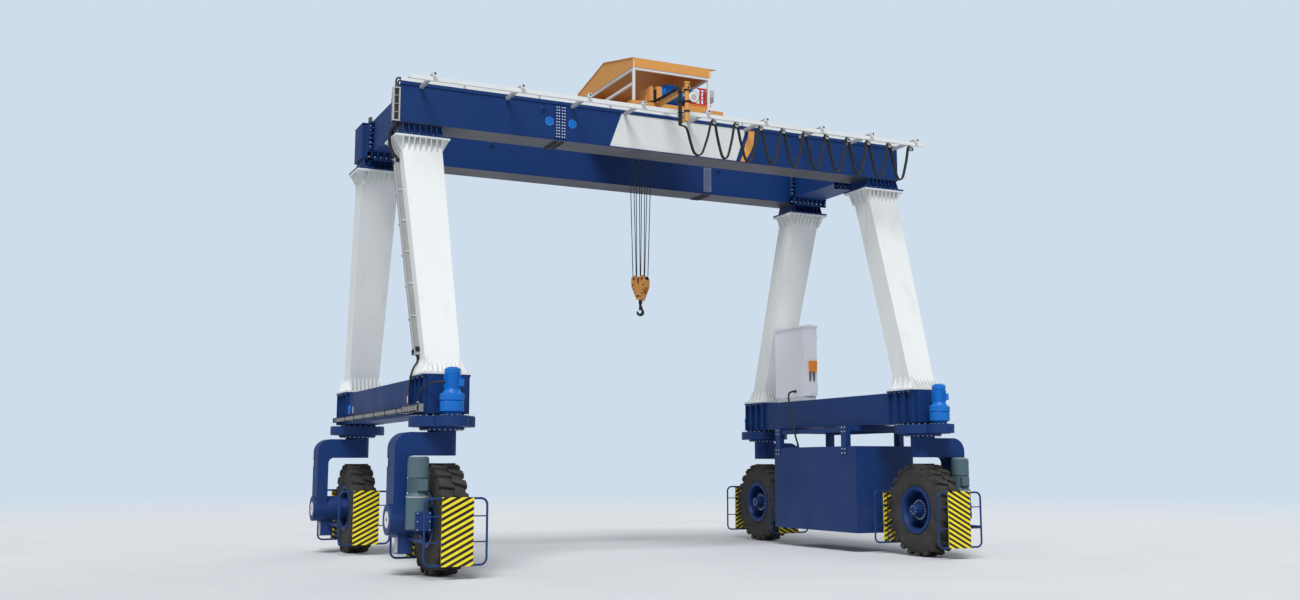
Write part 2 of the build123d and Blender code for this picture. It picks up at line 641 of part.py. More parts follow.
def tyre(side, end, name):
    """Builds one tyre with curved sidewalls and a ring of bent lugs on each shoulder."""
    centre = (side * WHEEL_X, end * WHEEL_Y, WHEEL_Z)
    half = TYRE_WIDTH / 2
    axis_plane = Plane(origin=centre, x_dir=(side, 0, 0), z_dir=(0, -side, 0))
    tread = TYRE_RADIUS - LUG_HEIGHT - 12
    with BuildPart() as casing:
        with BuildSketch(axis_plane):
            with BuildLine():
                Line((-half + 25, RIM_SEAT_RADIUS + 10), (-half + 25, RIM_FLANGE_RADIUS + 6))
                ThreePointArc((-half + 25, RIM_FLANGE_RADIUS + 6), (-half, 680), (-half + 18, tread - 50))
                Polyline((-half + 18, tread - 50), (-half + 60, tread), (half - 60, tread),
                         (half - 18, tread - 50))
                ThreePointArc((half - 18, tread - 50), (half, 680), (half - 25, RIM_FLANGE_RADIUS + 6))
                Polyline((half - 25, RIM_FLANGE_RADIUS + 6), (half - 25, RIM_SEAT_RADIUS + 10),
                         (half - 70, RIM_SEAT_RADIUS - 10), (-half + 70, RIM_SEAT_RADIUS - 10),
                         (-half + 25, RIM_SEAT_RADIUS + 10))
            make_face()
        revolve(axis=Axis(centre, (1, 0, 0)))
        lug_foot = tread - LUG_SINK
        lug_top = math.sqrt(TYRE_RADIUS ** 2 - LUG_REACH ** 2)
        stance = math.degrees(math.asin(LUG_REACH / TYRE_RADIUS))
        for row in (-1, 1):
            planes = []
            for index in range(LUG_COUNT):
                turn = math.radians(-90 + (index + row / 4) * 360 / LUG_COUNT - row * stance)
                out = (0, math.cos(turn), math.sin(turn))
                foot = tuple(c + lug_foot * o for c, o in zip(centre, out))
                planes.append(Plane(origin=foot, x_dir=(row, 0, 0), z_dir=out))
            rising = [(across, offset + half_lug) for across, offset, half_lug in LUG_STATIONS]
            falling = [(across, offset - half_lug) for across, offset, half_lug in LUG_STATIONS]
            with BuildSketch(*planes):
                with BuildLine():
                    Polyline(*rising, *reversed(falling), close=True)
                make_face()
            extrude(amount=lug_top - lug_foot)
    save(casing, name)


for corner in CORNERS:
    wheel_arm(corner.side, corner.end, corner.driven, f"wheel_arm_{corner.name}")
    guard_frames(corner.side, corner.end, f"guard_frames_{corner.name}")
    guard_boards(corner.side, corner.end, f"guard_boards_{corner.name}")
    rim(corner.side, corner.end, f"rim_{corner.name}")
    tyre(corner.side, corner.end, f"tyre_{corner.name}")
    if corner.driven:
        drive_motor(corner.side, corner.end, f"drive_motor_{corner.name}")

# Power pack in its plain housing, hung below the right ground beam
PACK_OUTER_X = PACK_INNER_X + PACK_WIDTH
with BuildPart() as pack:
    block((PACK_INNER_X, PACK_OUTER_X), (PACK_FRONT_Y, PACK_REAR_Y), (PACK_BOTTOM, PACK_TOP))
    chamfer(pack.edges().group_by(Axis.Z)[-1], 12)
save(pack, "power_pack")

with BuildPart() as hanger:
    for x in (PACK_INNER_X, PACK_OUTER_X):
        inward = 1 if x == PACK_INNER_X else -1
        for end in ENDS:
            y_limits = about(end * HANGER_Y, HANGER_DEPTH)
            block((x, x + inward * HANGER_POST), y_limits, (PACK_TOP, GROUND_BEAM_BOTTOM))
            block((x, x - inward * HANGER_STRAP), y_limits, (PACK_TOP - HANGER_STRAP_LAP, GROUND_BEAM_BOTTOM))
        near, far, low, high = HANGER_RAIL
        block((x + inward * near, x + inward * far), (-HANGER_Y, HANGER_Y),
              (GROUND_BEAM_BOTTOM - low, GROUND_BEAM_BOTTOM - high))
    for end in ENDS:
        width, depth = HANGER_CROSS_RAIL
        block((PACK_INNER_X, PACK_OUTER_X), about(end * HANGER_Y, width),
              (GROUND_BEAM_BOTTOM - depth, GROUND_BEAM_BOTTOM))
save(hanger, "pack_hanger")

# Control cabinet with a peaked rain lid, and its alarm box
with BuildPart() as cabinet:
    x_limits = about(CABINET_X, CABINET_WIDTH)
    block(x_limits, (CABINET_FRONT_Y, CABINET_REAR_Y), (CABINET_BOTTOM, CABINET_TOP))
    block(about(CABINET_X, CABINET_WIDTH - 2 * CABINET_PLINTH_INSET),
          (CABINET_FRONT_Y + CABINET_PLINTH_INSET, CABINET_REAR_Y - CABINET_PLINTH_INSET),
          (GROUND_BEAM_TOP, CABINET_BOTTOM))
    with BuildSketch(side_plane(CABINET_FRONT_Y - LID_LAP)):
        with BuildLine():
            low, high = about(CABINET_X, CABINET_WIDTH + 2 * LID_LAP)
            eave, ridge = (CABINET_TOP + rise for rise in LID_RISE)
            Polyline((low, CABINET_TOP), (low, eave), (CABINET_X, ridge), (high, eave), (high, CABINET_TOP),
                     close=True)
        make_face()
    extrude(amount=-(CABINET_REAR_Y - CABINET_FRONT_Y + 2 * LID_LAP))
save(cabinet, "control_cabinet")

with BuildPart() as alarm:
    width, depth = ALARM_SIZE
    block(about(ALARM_X, width), (CABINET_FRONT_Y - depth, CABINET_FRONT_Y), ALARM_Z)
    width, depth = ALARM_HOOK
    for place in ALARM_HOOK_PLACES:
        block(about(ALARM_X + place, width), (CABINET_FRONT_Y - depth, CABINET_FRONT_Y),
              (ALARM_HOOK_Z, ALARM_Z[0]))
save(alarm, "alarm_box")

# Festoon rail on its brackets along the front girder
GIRDER_FACE = GIRDER_Y + GIRDER_WIDTH / 2
with BuildPart() as brackets:
    for x in BRACKET_X:
        block(about(x, BRACKET_WIDTH), (-FESTOON_Y - BRACKET_REACH, -GIRDER_FACE),
              (FESTOON_TOP, FESTOON_TOP + BRACKET_WIDTH))
save(brackets, "festoon_brackets")

with BuildPart() as festoon_rail:
    width, height = FESTOON_RAIL
    groove_width, groove_depth = FESTOON_GROOVE
    rail_bottom = FESTOON_TOP - height
    block(FESTOON_RAIL_X, about(-FESTOON_Y, width), (rail_bottom, FESTOON_TOP))
    block(FESTOON_RAIL_X, about(-FESTOON_Y, groove_width), (rail_bottom, rail_bottom + groove_depth),
          mode=Mode.SUBTRACT)
save(festoon_rail, "festoon_rail")

# Flat festoon cable in loops between the carriers that hang in the rail
with BuildPart() as festoon_cable:
    for start, stop in zip(CARRIER_X, CARRIER_X[1:]):
        middle, half = (start + stop) / 2, (stop - start) / 2
        depth = CARRIER_Z - LOOP_BOTTOM
        falling = [(middle - half * reach, -FESTOON_Y, CARRIER_Z - depth * drop)
                   for drop, reach in LOOP_SHAPE]
        rising = [(2 * middle - x, y, z) for x, y, z in reversed(falling)]
        route = cable_route([*falling, *rising])
        with BuildSketch(Plane(origin=route @ 0, x_dir=(0, 1, 0), z_dir=route % 0)):
            Rectangle(*FESTOON_BAND)
        sweep(path=route)
    for x in CARRIER_X:
        cylinder_along("Y", (x, -FESTOON_Y, CARRIER_Z), CARRIER_RADIUS, FESTOON_BAND[0])
        width, plate = CARRIER_PLATE
        block(about(x, width), about(-FESTOON_Y, plate),
              (CARRIER_Z, FESTOON_TOP - FESTOON_RAIL[1] - BEARING_GAP))
save(festoon_cable, "festoon_cable")

with BuildPart() as panel:
    with BuildSketch(side_plane(-GIRDER_FACE + GIRDER_LIP)):
        with BuildLine():
            Polyline(*PANEL_CORNERS, close=True)
        make_face()
    extrude(amount=PANEL_PLATE)
save(panel, "sign_panel")

# Cable trays: on the left ground beam, up the front left leg and on the front girder
with BuildPart() as trays:
    near, far = TRAY_X
    block((-far, -near), TRAY_Y, TRAY_Z)
    for y in TRAY_BRACKET_Y:
        block((-near, -GROUND_BEAM_X - GROUND_BEAM_WIDTH / 2), about(y, TRAY_BRACKET), TRAY_Z)
    block((-far - 20, -near), JUNCTION_BOX_Y, JUNCTION_BOX_Z)
    width, depth = LEG_CHANNEL
    stand_off = depth / 2 + BEARING_GAP
    foot, head = (Vector(-leg_x(z) - leg_width(z) / 2 - stand_off, LEG_CHANNEL_SHIFT - leg_y(z), z)
                  for z in LEG_CHANNEL_Z)
    with BuildSketch(Plane(origin=foot, x_dir=(0, 1, 0), z_dir=head - foot)):
        Rectangle(width, depth)
    extrude(amount=(head - foot).length)
    length, thickness = END_TRAY
    web_y = -GIRDER_FACE + GIRDER_LIP
    block((-GIRDER_HALF_LENGTH - length, -GIRDER_HALF_LENGTH), (web_y, web_y + thickness), END_TRAY_Z)
    width, height = TOP_TRAY
    block((-GIRDER_HALF_LENGTH, GIRDER_HALF_LENGTH), (-GIRDER_FACE, width - GIRDER_FACE),
          (GIRDER_TOP, GIRDER_TOP + height))
save(trays, "cable_trays")

# Cables: cabinet to power pack, leg channel to the tray, and junction box to the steering motor
CABLE_ROUTES = (
    ((4830, 1130, 3620), (4740, 1130, 3620), (4610, 1090, 3590), (4500, 950, 3440), (4455, 800, 3180),
     (4448, 690, 2900), (4448, 620, 2660), (4465, 585, 2480), (4505, 575, 2380), (4505, 575, PACK_TOP)),
    ((-5528, -2791, 3787), (-5525, -2825, 3680), (-5615, -2835, 3560), (-5652, -2810, 3400),
     (-5650, -2740, 3180), (-5639, -2690, 3010), (-5639, -2690, JUNCTION_BOX_Z[1])),
    ((-5639, -3300, JUNCTION_BOX_Z[1]), (-5639, -3300, 3000), (-5630, -3400, 3130), (-5590, -3560, 3220),
     (-5500, -3690, 3262), (-5400, -3765, 3270), (-5310, -3765, 3270)),
)
with BuildPart() as cables:
    for points in CABLE_ROUTES:
        route = cable_route(points)
        with BuildSketch(Plane(origin=route @ 0, z_dir=route % 0)):
            Circle(CABLE_RADIUS)
        sweep(path=route)
save(cables, "cables")

# Trolley: two end beams over the rails, cross beams and a floor with a rope opening
TROLLEY_WHEEL_Z = GIRDER_TOP + RAIL_HEIGHT + TROLLEY_WHEEL_RADIUS + BEARING_GAP
BEAM_BOTTOM = TROLLEY_BEAM_TOP - TROLLEY_BEAM_HEIGHT
with BuildPart() as trolley_frame:
    for end in ENDS:
        y = end * GIRDER_Y
        block(about(TROLLEY_X, TROLLEY_LENGTH), about(y, TROLLEY_BEAM_WIDTH), (BEAM_BOTTOM, TROLLEY_BEAM_TOP))
        for place in (-TROLLEY_WHEELBASE / 2, TROLLEY_WHEELBASE / 2):
            block(about(TROLLEY_X + place, 3 * TROLLEY_WHEEL_RADIUS), about(y, 120),
                  (BEAM_BOTTOM, TROLLEY_BEAM_TOP - 20), mode=Mode.SUBTRACT)
    inner = GIRDER_Y - TROLLEY_BEAM_WIDTH / 2
    for x in TROLLEY_CROSS_X:
        block(about(x, TROLLEY_CROSS_WIDTH), (-inner, inner), (BEAM_BOTTOM + 30, TROLLEY_BEAM_TOP))
    floor_x = (TROLLEY_CROSS_X[0], TROLLEY_CROSS_X[1])
    block(floor_x, (-inner, inner), (TROLLEY_BEAM_TOP - 8, TROLLEY_BEAM_TOP))
    block(about(ROPE_X, 760), about(0, 420), (TROLLEY_BEAM_TOP - 8, TROLLEY_BEAM_TOP), mode=Mode.SUBTRACT)
save(trolley_frame, "trolley_frame")

with BuildPart() as trolley_wheels:
    for end in ENDS:
        for place in (-TROLLEY_WHEELBASE / 2, TROLLEY_WHEELBASE / 2):
            centre = (TROLLEY_X + place, end * GIRDER_Y, TROLLEY_WHEEL_Z)
            cylinder_along("Y", centre, TROLLEY_WHEEL_RADIUS, RAIL_WIDTH + 10)
            cylinder_along("Y", centre, 40, 120)
save(trolley_wheels, "trolley_wheels")

# Canopy: white frame and ochre gable roof
with BuildPart() as canopy:
    for x in CANOPY_X:
        for end in ENDS:
            block(about(x, CANOPY_POST), about(end * CANOPY_Y, CANOPY_POST),
                  (TROLLEY_BEAM_TOP, ROOF_EAVE - CANOPY_POST_DROP))
        block(about(x, CANOPY_POST), (-CANOPY_Y, CANOPY_Y), (CANOPY_EAVE - CANOPY_POST, CANOPY_EAVE))
    for end in ENDS:
        block(CANOPY_X, about(end * CANOPY_Y, CANOPY_POST), (CANOPY_EAVE - CANOPY_POST, CANOPY_EAVE))
    block(about(CANOPY_X[0], CANOPY_POST), (-CANOPY_Y, CANOPY_Y), about(CANOPY_MID_RAIL_Z, CANOPY_POST))
save(canopy, "canopy_frame")

with BuildPart() as roof:
    edge_y = CANOPY_Y + CANOPY_POST / 2 + ROOF_SHEET
    with BuildSketch(cross_plane(ROOF_X[0])):
        with BuildLine():
            Polyline((-edge_y, ROOF_EAVE), (0, ROOF_RIDGE), (edge_y, ROOF_EAVE),
                     (edge_y, ROOF_EAVE - ROOF_SHEET), (0, ROOF_RIDGE - ROOF_SHEET),
                     (-edge_y, ROOF_EAVE - ROOF_SHEET), close=True)
        make_face()
    extrude(amount=ROOF_X[1] - ROOF_X[0])
    for end in ENDS:
        block(CANOPY_X, (end * (edge_y - ROOF_SHEET), end * edge_y), (CANOPY_EAVE, ROOF_EAVE - 4))
    for x, outward in ((CANOPY_X[0] - CANOPY_POST / 2, -1), (CANOPY_X[1] + CANOPY_POST / 2, 1)):
        with BuildSketch(cross_plane(x)):
            with BuildLine():
                eave, ridge = ROOF_EAVE - GABLE_DROP, ROOF_RIDGE - GABLE_DROP
                Polyline((-edge_y, CANOPY_EAVE), (-edge_y, eave), (0, ridge), (edge_y, eave),
                         (edge_y, CANOPY_EAVE), close=True)
            make_face()
        extrude(amount=outward * ROOF_SHEET)
save(roof, "canopy_roof")

# Hoist: drum across the trolley on its bearing stands, gear motors, brake and electric box
with BuildPart() as drum:
    cylinder_along("X", (ROPE_X, DRUM_Y, DRUM_Z), DRUM_RADIUS, DRUM_LENGTH)
    for side in SIDES:
        flange_x = ROPE_X + side * DRUM_LENGTH / 2
        cylinder_along("X", (flange_x, DRUM_Y, DRUM_Z), DRUM_RADIUS + DRUM_FLANGE, 20)
        block(about(flange_x + side * 40, 40), about(DRUM_Y, 2 * DRUM_RADIUS), (TROLLEY_BEAM_TOP, DRUM_Z))
        cylinder_along("X", (flange_x + side * 40, DRUM_Y, DRUM_Z), 70, 70)
save(drum, "hoist_drum")

# Each block: limits along X, Y and Z
GEARBOX_BLOCKS = (
    ((-282, -18), (-1400, -870), (TROLLEY_BEAM_TOP, 9735)),
    ((-282, -228), (-1420, -850), (TROLLEY_BEAM_TOP, 9785)),
    ((-132, -18), (-1420, -850), (TROLLEY_BEAM_TOP, 9800)),
)
MOTOR_FOOT = ((90, 450), (-1330, -1030), (TROLLEY_BEAM_TOP, 9470))
# Hoist motor along X: place of each end and radius
MOTOR_AXIS = (-1180, 9672)
MOTOR_STEPS = ((-18, 60, 190), (60, 470, 205), (470, 535, 170))
TRAVEL_MOTOR_AXIS = (744, 9677)
TRAVEL_MOTOR_STEPS = ((-1418, -1380, 125), (-1380, -1000, 110))
TRAVEL_MOTOR_FOOT = ((690, 798), (-1340, -1180), (9550, 9600))
TRAVEL_MOTOR_BOX = ((660, 770), (-1330, -1170), (9700, 9856))
BRAKE_FRAME_BLOCKS = (
    ((592, 1163), (-1420, -1180), (9515, 9550)),
    ((640, 700), (-1400, -1200), (TROLLEY_BEAM_TOP, 9515)),
    ((1000, 1060), (-1400, -1200), (TROLLEY_BEAM_TOP, 9515)),
    ((585, 615), (-1420, -1385), (9515, 9883)),
    ((900, 930), (-1420, -1385), (9550, 9872)),
    ((1000, 1030), (-1420, -1385), (9550, 9872)),
    ((838, 1087), (-1420, -1385), (9872, 9899)),
)
ELECTRIC_BOX = ((1087, 1228), (CANOPY_POST / 2 - CANOPY_Y, -1205), (9620, 9877))

with BuildPart() as gear_box:
    for limits in GEARBOX_BLOCKS:
        block(*limits)
save(gear_box, "hoist_gearbox")

with BuildPart() as motors:
    y, z = MOTOR_AXIS
    for start, stop, radius in MOTOR_STEPS:
        cylinder_along("X", ((start + stop) / 2, y, z), radius, stop - start)
    x, z = TRAVEL_MOTOR_AXIS
    for start, stop, radius in TRAVEL_MOTOR_STEPS:
        cylinder_along("Y", (x, (start + stop) / 2, z), radius, stop - start)
    for limits in (MOTOR_FOOT, TRAVEL_MOTOR_FOOT, TRAVEL_MOTOR_BOX):
        block(*limits)
save(motors, "hoist_motor")

with BuildPart() as brake:
    for limits in BRAKE_FRAME_BLOCKS:
        block(*limits)
save(brake, "hoist_brake")

with BuildPart() as electric_box:
    block(*ELECTRIC_BOX)
save(electric_box, "electric_box")

# Tow arm that reaches over the festoon rail to its upright pole
with BuildPart() as tow_arm:
    width, height = TOW_ARM
    block(about(TOW_ARM_X, width), (-TOW_POLE_Y, -GIRDER_Y - TROLLEY_BEAM_WIDTH / 2),
          (TROLLEY_BEAM_TOP - height, TROLLEY_BEAM_TOP))
    low, high = TOW_POLE_Z
    cylinder_along("Z", (TOW_ARM_X, -TOW_POLE_Y, (low + high) / 2), TOW_POLE_RADIUS, high - low)
    radius, height = TOW_RING
    for z in TOW_RING_Z:
        cylinder_along("Z", (TOW_ARM_X, -TOW_POLE_Y, z), radius, height)
save(tow_arm, "tow_arm")

# The hook block's own plane: its width to the right, Z up, its front face outward
BLOCK_ANGLE = math.radians(BLOCK_TURN)
BLOCK_WAY = Vector(math.cos(BLOCK_ANGLE), math.sin(BLOCK_ANGLE), 0)
BLOCK_FRONT = Vector(math.sin(BLOCK_ANGLE), -math.cos(BLOCK_ANGLE), 0)


def block_point(across, forward, z):
    """Gives a point of the turned hook block from its place across, forward and up."""
    return Vector(ROPE_X, 0, z) + BLOCK_WAY * across + BLOCK_FRONT * forward


def block_plane(forward):
    """Gives the upright plane parallel to the hook block's cheeks, at a distance in front of its middle."""
    return Plane(origin=block_point(0, forward, 0), x_dir=BLOCK_WAY, z_dir=BLOCK_FRONT)


# Hoist ropes: from left to right each goes to the front or rear sheave of the next groove
ROPE_FEET = [(side * SHEAVE_PLACE + edge * (SHEAVE_GROOVE + ROPE_RADIUS), row * SHEAVE_ROW)
             for side in SIDES for edge in (-1, 1) for row in (1, -1)]
with BuildPart() as ropes:
    for place, (across, forward) in zip(ROPE_PLACES, ROPE_FEET):
        foot = block_point(across, forward, SHEAVE_Z)
        head = Vector(ROPE_X + place, 0, DRUM_Z)
        with BuildSketch(Plane(origin=foot, z_dir=head - foot)):
            Circle(ROPE_RADIUS)
        extrude(amount=(head - foot).length)
save(ropes, "hoist_ropes")

# Hook block: two lobed cheeks with bosses, side spacers and a solid foot
with BuildPart() as hook_block:
    cheek_middle = BLOCK_INNER_HALF + CHEEK_PLATE / 2
    taper = (BLOCK_FOOT_TOP - BLOCK_BOTTOM) / (BLOCK_WIDEST_Z - BLOCK_BOTTOM)
    foot_half = BLOCK_NECK + taper * (BLOCK_HALF_WIDTH - BLOCK_NECK)
    with BuildSketch(block_plane(-cheek_middle), block_plane(cheek_middle)) as cheeks:
        with BuildLine():
            lobe_side = LOBE_PLACE + LOBE_RADIUS
            Polyline((-BLOCK_NECK, BLOCK_BOTTOM), (BLOCK_NECK, BLOCK_BOTTOM),
                     (BLOCK_HALF_WIDTH, BLOCK_WIDEST_Z), (lobe_side, LOBE_Z), (-lobe_side, LOBE_Z),
                     (-BLOCK_HALF_WIDTH, BLOCK_WIDEST_Z), close=True)
        make_face()
        for side in SIDES:
            with Locations((side * LOBE_PLACE, LOBE_Z)):
                Circle(LOBE_RADIUS)
    extrude(cheeks.sketch, amount=CHEEK_PLATE / 2, both=True)
    with BuildSketch(block_plane(0)) as foot_face:
        with BuildLine():
            Polyline((-BLOCK_NECK, BLOCK_BOTTOM), (BLOCK_NECK, BLOCK_BOTTOM), (foot_half, BLOCK_FOOT_TOP),
                     (-foot_half, BLOCK_FOOT_TOP), close=True)
        make_face()
    extrude(foot_face.sketch, amount=BLOCK_INNER_HALF, both=True)
    with BuildSketch(block_plane(0)) as spacer_face:
        for side in SIDES:
            with Locations((side * sum(SPACER) / 2, sum(SPACER_Z) / 2)):
                Rectangle(SPACER[1] - SPACER[0], SPACER_Z[1] - SPACER_Z[0])
    extrude(spacer_face.sketch, amount=BLOCK_INNER_HALF, both=True)
    boss_radius, boss_height = BOSS
    for face in (-1, 1):
        middle = face * (BLOCK_INNER_HALF + CHEEK_PLATE + boss_height / 2)
        with BuildSketch(block_plane(middle)) as boss_face:
            with Locations(*[(side * SHEAVE_PLACE, SHEAVE_Z - BOSS_DROP) for side in SIDES]):
                Circle(boss_radius)
        extrude(boss_face.sketch, amount=boss_height / 2, both=True)
save(hook_block, "hook_block")

# Grooved sheaves on their two pins between the cheeks
with BuildPart() as sheaves:
    for side in SIDES:
        with BuildSketch(block_plane(0)) as pin_face:
            with Locations((side * SHEAVE_PLACE, SHEAVE_Z)):
                Circle(PIN_RADIUS)
        extrude(pin_face.sketch, amount=BLOCK_INNER_HALF, both=True)
        rim_width = (SHEAVE_WIDTH - SHEAVE_GROOVE_WIDTH) / 2
        rim_shift = (SHEAVE_GROOVE_WIDTH + rim_width) / 2
        discs = ((0, SHEAVE_GROOVE, SHEAVE_GROOVE_WIDTH), (-rim_shift, SHEAVE_RADIUS, rim_width),
                 (rim_shift, SHEAVE_RADIUS, rim_width))
        for row in (-1, 1):
            for shift, radius, width in discs:
                with BuildSketch(block_plane(row * SHEAVE_ROW + shift)) as disc:
                    with Locations((side * SHEAVE_PLACE, SHEAVE_Z)):
                        Circle(radius)
                extrude(disc.sketch, amount=width / 2, both=True)
save(sheaves, "block_sheaves")

# Forged hook: an open crescent with rounded edges under its round shank
with BuildPart() as hook:
    with BuildSketch(block_plane(0)) as crescent:
        with Locations((0, HOOK_Z)):
            Circle(HOOK_RADIUS)
        with BuildLine():
            neck_z = HOOK_Z + HOOK_SHANK_TOP
            Polyline((-HOOK_SHANK_RADIUS, neck_z), (HOOK_SHANK_RADIUS, neck_z), (HOOK_RADIUS, HOOK_Z),
                     (-HOOK_SHANK_RADIUS, HOOK_Z), close=True)
        make_face()
        with Locations((HOOK_MOUTH_SHIFT[0], HOOK_Z + HOOK_MOUTH_SHIFT[1])):
            Circle(HOOK_MOUTH_RADIUS, mode=Mode.SUBTRACT)
        with BuildLine():
            Polyline(*[(x, HOOK_Z + z) for x, z in HOOK_OPENING], close=True)
        make_face(mode=Mode.SUBTRACT)
    extrude(crescent.sketch, amount=HOOK_HALF_THICKNESS, both=True)
    rims = [edge for edge in hook.edges()
            if abs(abs((edge.center() - Vector(ROPE_X, 0, 0)).dot(BLOCK_FRONT)) - HOOK_HALF_THICKNESS) < 0.5]
    fillet(rims, HOOK_ROUNDING)
    shank_top = BLOCK_BOTTOM - BEARING_GAP
    shank_foot = HOOK_Z + HOOK_SHANK_TOP - HOOK_ROUNDING
    cylinder_along("Z", (ROPE_X, 0, (shank_top + shank_foot) / 2), HOOK_SHANK_RADIUS, shank_top - shank_foot)
save(hook, "hook")
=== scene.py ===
"""Looks of a rubber tyred gantry crane: the finish of every part and the small pieces that dress it."""

import json
import logging
import math
from dataclasses import dataclass, field
from enum import Enum
from typing import Iterable, Sequence

import bmesh
import bpy
from mathutils import Matrix, Vector


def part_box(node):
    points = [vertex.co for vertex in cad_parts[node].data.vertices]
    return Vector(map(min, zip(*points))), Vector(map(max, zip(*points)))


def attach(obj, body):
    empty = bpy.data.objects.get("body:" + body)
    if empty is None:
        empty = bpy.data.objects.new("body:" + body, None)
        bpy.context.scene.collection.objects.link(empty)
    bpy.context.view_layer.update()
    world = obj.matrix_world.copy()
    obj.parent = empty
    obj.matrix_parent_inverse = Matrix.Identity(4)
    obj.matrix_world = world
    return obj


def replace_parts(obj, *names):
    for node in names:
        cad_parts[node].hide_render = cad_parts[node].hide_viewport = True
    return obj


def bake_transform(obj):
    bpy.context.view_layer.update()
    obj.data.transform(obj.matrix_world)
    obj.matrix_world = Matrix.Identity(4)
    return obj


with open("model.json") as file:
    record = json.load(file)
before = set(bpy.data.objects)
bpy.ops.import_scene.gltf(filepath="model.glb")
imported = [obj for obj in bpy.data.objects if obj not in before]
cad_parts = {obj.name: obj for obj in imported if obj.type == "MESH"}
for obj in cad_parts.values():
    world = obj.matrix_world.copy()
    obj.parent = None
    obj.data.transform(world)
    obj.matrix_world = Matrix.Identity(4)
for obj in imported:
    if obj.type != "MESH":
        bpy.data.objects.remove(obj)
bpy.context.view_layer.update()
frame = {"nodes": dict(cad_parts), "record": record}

LOG = logging.getLogger("crane")
Point = Sequence[float]
Floats = tuple[float, ...]
Pair = tuple[float, float]
Triple = tuple[float, float, float]
Colour = Triple
Profile = Sequence[Pair]
Verts = list[bmesh.types.BMVert]

CREASE = math.radians(32)
FULL_TURN = 2 * math.pi
UP = (0, 0, 1)
BOLT_SIDES = 6
BOLT_SEAT = 0.002
BOLT_HEIGHT = 0.45
FLANGE_BOLT = 0.034
MERGE = 1e-5
LINE_STEPS = 5
CORD_STEPS = 12
CORD_SMOOTHNESS = 4

WHEEL_Y = 3.195
WHEEL_X = 5.180
WHEEL_Z = sum(corner.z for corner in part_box("rim_front_left")) / 2
TYRE_RADIUS = 0.9525
GIRDER_Y = 1.542
GIRDER_FACE_Y = 1.869
GIRDER_TOP = 8.992
FLAT_CABLE_LINES = (-0.028, 0.0, 0.028)
FLAT_CABLE_RADIUS = 0.0145


class Side(Enum):
    """The two sides of the crane across its span."""

    LEFT = -1
    RIGHT = 1


class End(Enum):
    """The two ends of the crane along its travel."""

    FRONT = -1
    REAR = 1


def corner_name(side: Side, end: End) -> str:
    """Gives the name that a corner's bodies and nodes carry."""
    return f"{end.name}_{side.name}".lower()


CORNERS = [(side, end) for end in End for side in Side]


def paint(red: int, green: int, blue: int) -> Colour:
    """Turns a colour of eight bits a channel into the linear values that shaders take.

    Args:
        red, green, blue: the channels as they look on a screen.

    Returns:
        The three linear values.
    """
    values = []
    for channel in (red, green, blue):
        share = channel / 255
        values.append(share / 12.92 if share <= 0.04045 else ((share + 0.055) / 1.055) ** 2.4)
    return tuple(values)


# Shader trees


class Term:
    """One value in a material's tree, on which arithmetic adds Math nodes."""

    def __init__(self, tree: "Tree", socket: bpy.types.NodeSocket) -> None:
        """Wraps the socket that gives the value."""
        self.tree = tree
        self.socket = socket

    def maths(self, operation: str, other: "Term | float", swapped: bool = False) -> "Term":
        """Adds a Math node on this value and another.

        Args:
            operation: the node's operation.
            other: the second value.
            swapped: whether the other value comes first.

        Returns:
            The node's result.
        """
        values = [other, self] if swapped else [self, other]
        node = self.tree.add("ShaderNodeMath", {"operation": operation}, dict(enumerate(values)))
        return Term(self.tree, node.outputs[0])

    def __add__(self, other: "Term | float") -> "Term":
        """Adds a value."""
        return self.maths("ADD", other)

    __radd__ = __add__

    def __sub__(self, other: "Term | float") -> "Term":
        """Takes a value away."""
        return self.maths("SUBTRACT", other)

    def __rsub__(self, other: "Term | float") -> "Term":
        """Takes this value away from another."""
        return self.maths("SUBTRACT", other, swapped=True)

    def __mul__(self, other: "Term | float") -> "Term":
        """Multiplies by a value."""
        return self.maths("MULTIPLY", other)

    __rmul__ = __mul__

    def __truediv__(self, other: "Term | float") -> "Term":
        """Divides by a value."""
        return self.maths("DIVIDE", other)

    def above(self, level: float) -> "Term":
        """Gives 1 where the value is over a level."""
        return self.maths("GREATER_THAN", level)

    def part_of_one(self) -> "Term":
        """Gives the value's fraction, which repeats from 0 to 1."""
        return self.maths("FRACT", 0.0)

    def size(self) -> "Term":
        """Gives the value without its sign."""
        return self.maths("ABSOLUTE", 0.0)

    def over(self, low: float, high: float) -> "Term":
        """Gives a smooth rise from 0 at the low value to 1 at the high one.

        Args:
            low: the value that gives 0.
            high: the value that gives 1.

        Returns:
            The rise.
        """
        limits = {0: self, 1: low, 2: high, 3: 0.0, 4: 1.0}
        node = self.tree.add("ShaderNodeMapRange", {"interpolation_type": "SMOOTHSTEP"}, limits)
        return Term(self.tree, node.outputs[0])


